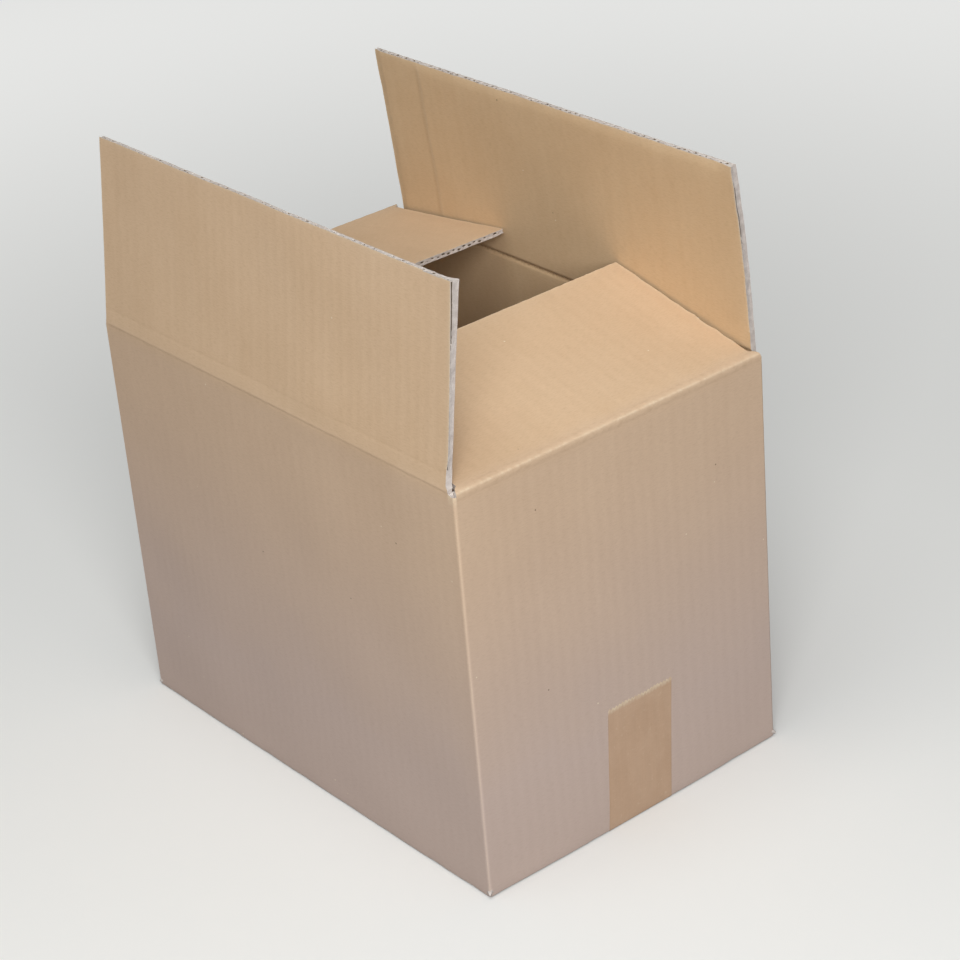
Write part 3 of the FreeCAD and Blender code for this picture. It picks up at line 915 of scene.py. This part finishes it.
def flutedMedium(name, width, length, touch, skew, alongPoints=5, pointsPerFlute=12):
    # Points across, up and into the board, counted from the piece's lower left corner.
    gap = 0.06
    rise = board - 2 * carton["liner"] - carton["medium"] - 2 * gap
    mesh = grown(fluting, name, {
        "Width": width, "Length": length, "Pitch": carton["pitch"], "Rise": rise,
        "Thickness": carton["medium"], "Touch": touch - width / 2, "Skew": skew,
        "Points across": int(width / carton["pitch"] * pointsPerFlute),
        "Points along": alongPoints, "Paper": flutePaper,
    })
    points = meshPoints(mesh)
    across, upwards = points[:, 0] + width / 2, points[:, 1] + length / 2
    return mesh, across, upwards, points[:, 2] + carton["liner"] + gap


cutEdges = {
    "flutesUnder": 2.6,         # the whole flutes end this far under the free edge
    "flutesInside": 2.9,        # and this far inside the two ends
    "level": 0.14,              # the crushed medium lies this far inside the cut
    "tunnel": 1.7,              # depth to which a tunnel stays open
    "tunnelWide": 1.0,
    "tunnelHigh": 0.54,
    "step": 0.5,
    "groove": 2.0,              # depth of an open flute along an end
    "grooveWide": 0.13,         # its share of the board's thickness
    "overlap": 0.06,            # the crushed medium reaches this far into the liners
    "backing": 0.5,
}


def flapFlutes(side):
    reach = flapReach(side)
    start = carton["foldReach"] - 2.0
    length = reach - cutEdges["flutesUnder"] - start
    low, high = side["ends"]
    inset = cutEdges["flutesInside"]
    width = high - low - 2 * inset
    touch = (side["touch"] - low - inset) % carton["pitch"]
    mesh, across, upwards, depth = flutedMedium(side["name"] + "Flutes", width, length, touch,
                                                side["skew"] / side["depth"])
    s = upwards + start
    lowAt, highAt = flapEnds(side, s)
    left, right = raggedEnds(side, s)
    share = across / width
    u = (lowAt + left + inset) + share * (highAt - right - lowAt - left - 2 * inset)
    nick = 0.12 * waves(u, 0 * u, 3.0, side["seed"] + 14) * ease((s - reach + 2) / 2)
    points = place(side, u, s + nick, depth * squeeze(side, u, s))
    return placeMesh(mesh, side["name"] + "Flutes", points, side["body"])


def addCutEdge(sheet, side, u, s, depth, back, dark):
    # The medium crushed between the liners along a cut, as a closed sheet; dark marks its open tunnels.
    thick, thickBack = squeeze(side, u, s), squeeze(side, back[0], back[1])
    flat = flatPlace(side, u, s, True)
    rows, columns = u.shape
    first = len(sheet.kinds)
    behind = place(side, back[0], back[1], depth * thickBack)
    addSlab(sheet, place(side, u, s, depth * thick), behind, flat, flat)
    cells = (rows - 1) * (columns - 1)
    middle = (dark[1:, 1:] + dark[:-1, 1:] + dark[1:, :-1] + dark[:-1, :-1]) / 4
    kinds = [1 if value > 0.5 else 0 for value in middle.ravel()]
    sheet.kinds[first:first + cells] = kinds
    sheet.kinds[first + cells:] = [0] * (len(sheet.kinds) - first - cells)


def crushedEdges(side):
    sheet = Sheet()
    reach, liner = flapReach(side), carton["liner"]
    inside, tuck = board - 2 * liner, cutEdges["overlap"]

    # along the free edge: a pocket at the end of every tunnel, turn about under the two liners
    low, high = flapEnds(side, np.array([reach]))
    left, right = raggedEnds(side, np.array([reach]))
    u = np.arange(low[0] + left[0] + 0.3, high[0] - right[0] - 0.3, cutEdges["step"])[None, :]
    share = np.linspace(0, 1, 9)[:, None]
    depth = liner - tuck + (inside + 2 * tuck) * share + 0 * u
    turns = (u - side["touch"] - side["skew"]) / (carton["pitch"] / 2)
    tunnel = np.round(turns)
    offset = (turns - tunnel) * carton["pitch"] / 2
    opening = 0.62 + 0.45 * waves(tunnel * 7.0, 0 * u, 23.0, side["seed"] + 17)
    level = liner + inside * np.where(tunnel % 2 == 0, 0.66, 0.34)
    hole = np.exp(-(offset / cutEdges["tunnelWide"]) ** 2 - ((depth - level) / cutEdges["tunnelHigh"]) ** 2)
    hole = hole * np.clip(opening, 0, 1)
    frayed = 0.12 * waves(u * 2.0 + 0 * depth, depth * 3.0 + 0 * u, 5.0, side["seed"] + 18)
    s = reach - cutEdges["level"] - 0.1 - frayed - cutEdges["tunnel"] * hole
    u = u + 0 * s
    addCutEdge(sheet, side, u, s, depth, (u, s - cutEdges["backing"]), hole / 0.42)

    # along both ends: crushed nearly shut, with an open flute down part of the right one
    s = np.concatenate([[carton["foldReach"] - 0.5], np.arange(13.0, reach - 1.0, 1.2), [reach - 0.4]])
    low, high = flapEnds(side, s)
    left, right = raggedEnds(side, s)
    face, opensAt, closesAt = side["gap"]
    share = np.linspace(0, 1, 15)[None, :]
    for end, direction, stray in ((low + left, 1, 20), (high - right, -1, 30)):
        rough = 0.5 + 0.5 * waves(s, 0 * s, 7.0, side["seed"] + stray)[:, None]
        wide = 0.02 + 0 * s
        if direction < 0:
            wide = wide + cutEdges["grooveWide"] * ease((s - opensAt) / 9.0) * ease((closesAt - s) / 5.0)
        beside = share if face == "outer" else 1 - share
        groove = 1 - ease((beside - wide[:, None]) / 0.06 + 0.5)
        depth = liner - tuck + (inside + 2 * tuck) * share + 0 * rough
        sGrid = s[:, None] + 0 * depth
        recess = cutEdges["level"] + 0.25 * rough * np.sin(math.pi * share) + cutEdges["groove"] * groove
        recess = recess + 0.1 * waves(sGrid * 3, share * 9 + 0 * sGrid, 4.0, side["seed"] + stray + 2)
        u = end[:, None] + direction * np.clip(recess, 0.02, None)
        back = end[:, None] + direction * (cutEdges["groove"] + 0.8) + 0 * u
        addCutEdge(sheet, side, u, sGrid, depth, (back, sGrid), groove * 4)
    made = sheet.finish(side["name"] + "CutEdges", [cutEdge, tornShadow], 60)
    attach(made, side["body"])
    return made


walls = cartonWalls()
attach(walls, "carton")
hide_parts("carton_body")
print("walls made")
for name, torn in (("front", 1.3), ("rear", 0.0), ("right", 0.0), ("left", 0.0)):
    pressedFold(sides[name], torn)
    flapBoard(sides[name], torn)
    flapFlutes(sides[name])
    crushedEdges(sides[name])
    print(name, "flap made")


def cornerPost(sheet, outline, centre, top, hole, seed):
    # A wall's corner above the walls' top rim, crushed and torn where the slot ends.
    # outline runs round it once; hole is the torn star's reach, 0 where there is none.
    dense = []
    for here, following in zip(outline, outline[1:] + outline[:1]):
        here, following = np.array(here, float), np.array(following, float)
        parts = max(1, int(np.linalg.norm(following - here) / 0.35))
        dense += [here + (following - here) * part / parts for part in range(parts)]
    edge = np.array(dense)
    centre = np.array(centre, float)
    ray = edge - centre
    angle = np.arctan2(ray[:, 1], ray[:, 0])
    distance = np.linalg.norm(ray, axis=1)
    rough = waves(edge[:, 0] * 3, edge[:, 1] * 3, 4.0, seed)
    star = hole * (0.28 + 0.72 * np.abs(np.cos(2.5 * angle + seed)) ** 3) * (1 + 0.25 * rough)
    star = np.minimum(star, distance * 0.8)
    rings = [(1.0, carton["wallTop"] - 0.02, 0.0), (1.0, carton["wallTop"] + 6, 0.0), (1.0, top - 0.6, 0.0),
             (0.97, top - 0.15, 0.2), (0.88, top + 0.05, 0.5), (0.6, top + 0.1, 0.8)]
    points, columns = [], len(edge)

    def sunk(place2d):
        away = np.linalg.norm(place2d - centre, axis=1)
        return cornerTops["dip"] * np.exp(-(away / cornerTops["dipReach"]) ** 2) if hole else 0

    for share, z, jitter in rings:
        reach = star + (distance - star) * share if hole else distance * share
        point = centre + ray / distance[:, None] * reach[:, None]
        dip = sunk(point) if z > carton["wallTop"] + 7 else 0
        points.append(np.column_stack([point, z + jitter * 0.35 * rough - dip]))
    if hole:
        for share, z in ((1.35, top + 0.25), (1.0, top - 0.1), (0.85, top - 1.2), (0.6, top - 3.2),
                         (0.3, top - 4.8)):
            point = centre + ray / distance[:, None] * np.minimum(star * share, distance * 0.85)[:, None]
            points.append(np.column_stack([point, z + 0.12 * rough * (share > 1) - sunk(point)]))
    rows = len(points)
    grid = np.array(points)
    faces = gridFaces(rows, columns, 0, True)
    outside = 3 * columns
    kinds = [0] * outside
    kinds += [2] * (len(faces) - outside)
    if hole:
        kinds[-3 * columns:] = [3] * (3 * columns)
    faces.append(list(range(columns))[::-1])
    faces.append([(rows - 1) * columns + column for column in range(columns)])
    kinds += [2, 3 if hole else 2]
    flat = grid.copy()
    flat[..., 0] = sheetCoordinate(grid[..., 0], grid[..., 1])
    flat[..., 1] = grid[..., 2]
    flat[..., 2] = 0
    worn = np.zeros((rows, columns))
    worn[2] = 0.6
    sheet.add(grid, faces, kinds, flat, worn)


def cornerOutline(sideX, sideY, longEnd, shortEnd):
    # The L of wall between the end of a long fold and the end of a short one, seen from above.
    radius = carton["cornerRadius"]
    outline = [(longEnd, sideY * halfWidth)]
    for step in range(7):
        turn = math.pi / 2 * step / 6
        outline.append((sideX * (halfLength - radius + radius * math.sin(turn)),
                        sideY * (halfWidth - radius + radius * math.cos(turn))))
    outline += [(sideX * halfLength, shortEnd), (sideX * (halfLength - board), shortEnd),
                (sideX * (halfLength - board), sideY * (halfWidth - board)),
                (longEnd, sideY * (halfWidth - board))]
    return outline


cornerTops = {
    "drop": 0.7,                # corner tops lie this far under the folds
    "hole": 2.4,
    "holeInset": 2.0,
    "farHole": 0.8,             # share of its reach at the other corners
    "dip": 2.3,                 # the torn corner has sunk this far round its hole
    "dipReach": 2.6,
}


def tornCorners():
    sheet = Sheet()
    top = height - cornerTops["drop"]
    inset, farHole = cornerTops["holeInset"], cornerTops["farHole"]
    right, left, front, rear = (sides[name] for name in ("right", "left", "front", "rear"))
    for sideX, sideY, longEnd, shortEnd, hole in (
            (1, -1, front["ends"][1], right["ends"][0] - right["lip"][0], cornerTops["hole"]),
            (1, 1, rear["ends"][1], right["ends"][1] + right["lip"][1], cornerTops["hole"] * farHole),
            (-1, 1, rear["ends"][0], left["ends"][1] + left["lip"][1], cornerTops["hole"] * farHole)):
        centre = (sideX * (halfLength - inset), sideY * (halfWidth - inset))
        outline = cornerOutline(sideX, sideY, longEnd, shortEnd)
        cornerPost(sheet, outline, centre, top, hole, 71 + sideX + 3 * sideY)
    low, high, raw = -halfWidth + board + 1.0, left["ends"][0], -halfLength
    cornerPost(sheet, [(raw, low), (raw + board, low), (raw + board, high), (raw, high)],
               (raw + board / 2, (low + high) / 2), top, 0, 83)
    near = front["ends"][0]
    face, back = -halfWidth, -halfWidth + board
    cornerPost(sheet, [(raw, face), (near, face), (near, back), (raw, back)],
               ((raw + near) / 2, face + board / 2), top, 0, 87)
    made = sheet.finish("cornerTops", boardMaterials + [tornShadow], 40)
    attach(made, "carton")
    return made


tornCorners()


bottomFlaps = {
    "endGap": 1.5,
    "seam": 1.0,
    "layerGap": 0.3,
    "shortDepth": 110.0,
    "lift": 0.12,               # room for the tape under the outside flaps
    "tabLength": 35.0, "tabThick": 3.0, "tabTaper": 9.0, "tabMargin": 6.0,
}


def lyingBoard(name, put, low, high, depth, touch, seed):
    # A bottom flap: two liners and the medium, drawn along its fold (u) and away from it (s).
    sheet = Sheet()
    liner = carton["liner"]
    u = columnsBetween(low, high, 4.0)[None, :]
    s = np.concatenate([[0.0], np.arange(6.0, depth - 3, 12.0), [depth - 2.5, depth]])[:, None]
    u, s = np.broadcast_arrays(u, s)
    dents = 0.22 * waves(u, s, 60.0, seed) * ease(s / 12.0)
    crush = 1 - 0.2 * ease(1 - (depth - s) / 4.0)
    number = np.full(u.shape, seed * 40.0)
    flat = np.stack([u, s, number], -1)
    edge = np.minimum(np.minimum(u - low, high - u), depth - s)
    worn = 0.4 * (1 - ease(edge / 1.2))
    bothWorn = np.stack([worn, worn])
    addSlab(sheet, put(u, s, 0 * u), put(u, s, 0 * u + liner), flat, flat, bothWorn, 0.0, (0, 2, 2))
    top = put(u, s, (board - dents * 0.5) * crush)
    under = put(u, s, (board - liner - dents * 0.5) * crush)
    addSlab(sheet, top, under, flat, flat, bothWorn, 0.0, (1, 2, 2))
    made = sheet.finish(name, boardMaterials)
    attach(made, "carton")
    width = high - low - 0.6
    firstTouch = touch % carton["pitch"]
    mesh, across, along, d = flutedMedium(name + "Flutes", width, depth - 0.4, firstTouch, 0.0, 3, 10)
    crushed = d * (1 - 0.2 * ease(1 - (depth - along) / 4.0))
    placeMesh(mesh, name + "Flutes", put(across + low + 0.3, along + 0.2, crushed), "carton")


def bottomBoards():
    reach = halfLength - board - bottomFlaps["endGap"]
    depth = halfWidth - board - bottomFlaps["seam"] / 2
    lift = bottomFlaps["lift"]
    for name, sideY, seed in (("frontBottomFlap", -1, 91), ("rearBottomFlap", 1, 92)):
        def put(u, s, d, sideY=sideY):
            return np.stack([u, sideY * (halfWidth - board - s), lift + d * (board - lift) / board], -1)
        lyingBoard(name, put, -reach, reach, depth, 2.0, seed)
    reach = halfWidth - board - bottomFlaps["endGap"]
    depth = bottomFlaps["shortDepth"] - board
    floor = board + bottomFlaps["layerGap"]
    for name, sideX, seed in (("rightBottomFlap", 1, 93), ("leftBottomFlap", -1, 94)):
        def put(u, s, d, sideX=sideX):
            return np.stack([sideX * (halfLength - board - s), u, floor + d], -1)
        lyingBoard(name, put, -reach, reach, depth, 3.0, seed)


bottomBoards()


def glueTab():
    sheet = Sheet()
    start = -halfLength + board
    x = np.linspace(0, bottomFlaps["tabLength"], 14)[:, None]
    share = np.linspace(0, 1, 40)[None, :]
    taper = bottomFlaps["tabTaper"] * ease(x / bottomFlaps["tabLength"] * 0.5) * 2
    low = carton["innerFloor"] + bottomFlaps["tabMargin"] + taper
    high = height - board - bottomFlaps["tabMargin"] - taper
    z = low + (high - low) * share
    x = x + 0 * z
    face = -halfWidth + board - 0.1
    crush = 1 - 0.35 * ease(1 - (bottomFlaps["tabLength"] - x) / 5.0)
    thick = bottomFlaps["tabThick"] * crush + 0.15 * waves(x, z, 30.0, 95)
    inside = np.stack([start + x, face + thick, z], -1)
    against = np.stack([start + x, face + 0 * x, z], -1)
    flat = np.stack([x, z, 0 * x + 3800.0], -1)
    addSlab(sheet, inside, against, flat, flat, 0.0, 0.0, (1, 2, 2))
    made = sheet.finish("glueTab", boardMaterials)
    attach(made, "carton")


glueTab()
print("bottom flaps and glue tab made")


tape = {
    "width": 48.0,
    "proud": 0.06,
    "sunk": 0.05,
    "riseRight": 78.0,
    "riseLeft": 68.0,
    "shiftRight": 1.3,          # its middle off the seam where it leaves the underside
    "shiftLeft": -2.6,
    "slantRight": 5.6,          # sideways run up each wall
    "slantLeft": -2.0,
    "toothPitch": 2.4,
    "toothDepth": 1.2,
    "columns": 81,
}


def bottomTape():
    # One strip: down the left wall, under the seam and up the right wall, with saw-cut ends.
    bend = carton["bottomRadius"]
    up = np.concatenate([np.arange(0.0, 58.0, 4.0), [61.0, 63.5, 65.0, 66.0, 66.8]]) / 66.8
    turn = np.linspace(0, math.pi / 2, 6)
    offsets = np.linspace(-0.5, 0.5, tape["columns"]) * tape["width"]
    rows = []                                   # (x, z, lean of the outward direction, side of the carton)
    for sideX in (1, -1):
        rise = tape["riseRight"] if sideX > 0 else tape["riseLeft"]
        part = [(sideX * halfLength, bend + (rise - bend) * share, 0.0, sideX) for share in up[::-1]]
        part += [(sideX * (halfLength - bend + bend * math.cos(angle)), bend - bend * math.sin(angle),
                  angle, sideX) for angle in turn[1:]]
        if sideX > 0:
            rows += part
            under = halfLength - bend - 8
            rows += [(x, 0.0, math.pi / 2, 0) for x in np.linspace(under, -under, 30)]
        else:
            rows += part[::-1]
    outer, hidden, flat, worn, pressedAndShaded = [], [], [], [], []
    travelled = 0.0
    for index, (x, z, lean, sideX) in enumerate(rows):
        if index:
            travelled += math.hypot(x - rows[index - 1][0], z - rows[index - 1][1])
        share = (x / halfLength + 1) / 2
        middle = tape["shiftLeft"] + (tape["shiftRight"] - tape["shiftLeft"]) * share
        rise = tape["riseRight"] if x > 0 else tape["riseLeft"]
        slant = tape["slantRight"] if x > 0 else tape["slantLeft"]
        y = middle + slant * z / rise + offsets
        tooth = np.abs((offsets / tape["toothPitch"]) % 1.0 - 0.5) * 2
        high = ease((z / rise - 0.93) / 0.07)
        zs = z - tape["toothDepth"] * tooth * high + 0.35 * waves(y, 0 * y, 16.0, 101) * high
        side = sides["right" if x > 0 else "left"]
        s = zs - side["pivotHeight"]
        foot = ease((zs - 2.0) / 14.0)
        sunk = outerRelief(side, y, s) * foot if sideX else 0 * y
        lift = 0.1 * np.clip(waves(y, zs, 9.0, 102), 0, 1) * high
        for grid, off in ((outer, tape["proud"]), (hidden, -tape["sunk"])):
            away = off - sunk + (lift if off > 0 else 0)
            away = away + (wallBulge(side, y, zs) if sideX else 0)
            px = x + np.sign(x) * away * math.cos(lean) if sideX else x + 0 * y
            pz = zs - away * math.sin(lean) if sideX else 0.06 - off + 0 * y
            grid.append(np.stack([px + 0 * y, y, np.maximum(pz, 0.005)], -1))
        flat.append(np.stack([offsets, travelled + 0 * y, 0 * y + 7.0], -1))
        edge = tape["width"] / 2 - np.abs(offsets)
        worn.append(high * ease((z / rise - 0.955) / 0.03) * 0.9 + 0 * y)
        pressedAndShaded.append(0.3 * (1 - ease(edge / 0.9)) + 0 * y)
    outer, hidden, flat = np.array(outer), np.array(hidden), np.array(flat)
    worn, pressedAndShaded = np.array(worn), np.array(pressedAndShaded)
    sheet = Sheet()
    bothWorn, bothPressed = np.stack([worn, worn]), np.stack([pressedAndShaded, pressedAndShaded])
    addSlab(sheet, outer, hidden, flat, flat, bothWorn, bothPressed, (0, 0, 0))
    made = sheet.finish("bottomTape", [packingTape], 45)
    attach(made, "carton")
    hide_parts("bottom_tape")
    return made


bottomTape()
print("tape made")


cornerPoints = {
    "inset": 1.4,
    "radius": 2.4,
    "reach": 3.0,
    "height": 3.4,
    "flatness": 0.7,
    "stickOut": 1.1,            # furthest out of the walls
}


def puckeredCorners():
    # Small points of liner pushed out at the bottom corners, where the slots between the flaps end.
    sheet = Sheet()
    columns = 14
    for sideX, sideY in ((1, -1), (1, 1), (-1, 1), (-1, -1)):
        seed = 110 + 2 * sideX + sideY
        foot = np.array([sideX * (halfLength - cornerPoints["inset"]),
                         sideY * (halfWidth - cornerPoints["inset"]), cornerPoints["height"]])
        outwards = np.array([sideX, sideY, 0.0]) / math.sqrt(2)
        sideways = np.array([-sideY, sideX, 0.0]) / math.sqrt(2)
        rows = []
        for share in (0.0, 0.3, 0.55, 0.75, 0.9, 1.0):
            middle = foot + outwards * cornerPoints["reach"] * share - np.array([0, 0, 1.4 * share])
            radius = cornerPoints["radius"] * (1 - share) ** 0.8 + 0.12
            ring = []
            for column in range(columns):
                angle = math.tau * column / columns
                jag = 1 + 0.3 * float(waves(np.array(column * 2.1), np.array(share * 9), 6.0, seed))
                ring.append(middle + (sideways * math.cos(angle) * cornerPoints["flatness"]
                                      + np.array([0, 0, 1.0]) * math.sin(angle)) * radius * jag)
            rows.append(ring)
        grid = np.array(rows)
        grid[..., 2] = np.maximum(grid[..., 2], 0.05)
        for axis, half in ((0, halfLength), (1, halfWidth)):
            limit = half + cornerPoints["stickOut"]
            grid[..., axis] = np.clip(grid[..., axis], -limit, limit)
        faces = gridFaces(len(rows), columns, 0, True)
        kinds = [2] * len(faces)
        faces.append(list(range(columns))[::-1])
        faces.append([(len(rows) - 1) * columns + column for column in range(columns)])
        kinds += [0, 2]
        sheet.add(grid, faces, kinds, worn=0.6)
    made = sheet.finish("cornerPoints", boardMaterials, 60)
    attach(made, "carton")


puckeredCorners()
print("corner points made")


def lookFrom(position, right, down, forward, focalPixels, imagePixels=960, sensor=36.0):
    camera = bpy.data.cameras.new("camera")
    camera.sensor_width = sensor
    camera.lens = focalPixels / imagePixels * sensor
    camera.clip_start, camera.clip_end = 0.01, 50
    made = bpy.data.objects.new("camera", camera)
    bpy.context.scene.collection.objects.link(made)
    turn = Matrix((right, [-value for value in down], [-value for value in forward])).transposed()
    made.matrix_world = Matrix.Translation(position) @ turn.to_4x4()
    bpy.context.scene.camera = made


photoView = {
    "position": (1.1160, -0.8349, 0.8883),
    "right": (0.6428, 0.7622, -0.0763),
    "down": (0.3134, -0.3525, -0.8817),
    "forward": (-0.6990, 0.5429, -0.4655),
    "focalPixels": 2705.3,
}
lookFrom(**photoView)

studio = {
    "floorHalf": 9.0,
    "floorDrop": 0.0004,
    "target": (0, 0, 0.2),
    "floor": rgb(240, 240, 238),
    "floorBounce": rgb(120, 120, 122),
    "world": 0.27,
    "top": 18.6,
    "topTint": (0.97, 1.0, 0.985),
    "topFrom": (0.25, -0.55, 2.5),
    "topSize": 1.8,
    "farGlow": 0.37,            # the far floor shows this much paler, so that it stays one pale ground
    "key": 36.5,
    "keyFrom": (1.6, -1.18, 1.24),
    "keySize": 1.3,
}


def paleFloor():
    mesh = bpy.data.meshes.new("floor")
    half = studio["floorHalf"]
    corners = [(-half, -half, 0), (half, -half, 0), (half, half, 0), (-half, half, 0)]
    mesh.from_pydata(corners, [], [(0, 1, 2, 3)])
    floor = bpy.data.objects.new("floor", mesh)
    bpy.context.scene.collection.objects.link(floor)
    floor.location.z = -studio["floorDrop"]
    material, shade, surface = newMaterial("floorPaper")
    seen = shade.node("ShaderNodeLightPath", None, None, "Is Camera Ray")
    mirrored = shade.node("ShaderNodeLightPath", None, None, "Is Glossy Ray")
    wire((seen + mirrored).mix(studio["floorBounce"], studio["floor"]), surface, "Base Color")
    away = shade.node("ShaderNodeTexCoord", output=3)
    distance = away.node("ShaderNodeVectorMath", {"operation": "LENGTH"}, {0: away}, 1)
    glow = seen * distance.above(0.3, 1.55) * studio["farGlow"]
    wire(glow.mix((0, 0, 0, 1), (1, 1, 0.99, 1)), surface, "Emission Color")
    surface.inputs["Emission Strength"].default_value = 1.0
    surface.inputs["Roughness"].default_value = 0.9
    mesh.materials.append(material)


def softLamp(name, place3d, size, power, tint=(1, 1, 1)):
    lamp = bpy.data.lights.new(name, "AREA")
    lamp.color = tint
    lamp.shape, lamp.size, lamp.energy = "DISK", size, power
    made = bpy.data.objects.new(name, lamp)
    bpy.context.scene.collection.objects.link(made)
    made.location = place3d
    towards = Vector(studio["target"]) - Vector(place3d)
    made.rotation_euler = towards.to_track_quat("-Z", "Y").to_euler()


paleFloor()
softLamp("topLamp", studio["topFrom"], studio["topSize"], studio["top"], studio["topTint"])
softLamp("keyLamp", studio["keyFrom"], studio["keySize"], studio["key"])
world = bpy.data.worlds.new("studio")
world.use_nodes = True
sky = world.node_tree.nodes["Background"]
sky.inputs[0].default_value = (1, 1, 1, 1)
sky.inputs[1].default_value = studio["world"]
bpy.context.scene.world = world
bpy.context.scene.view_settings.view_transform = "Standard"
print("camera and lights set")
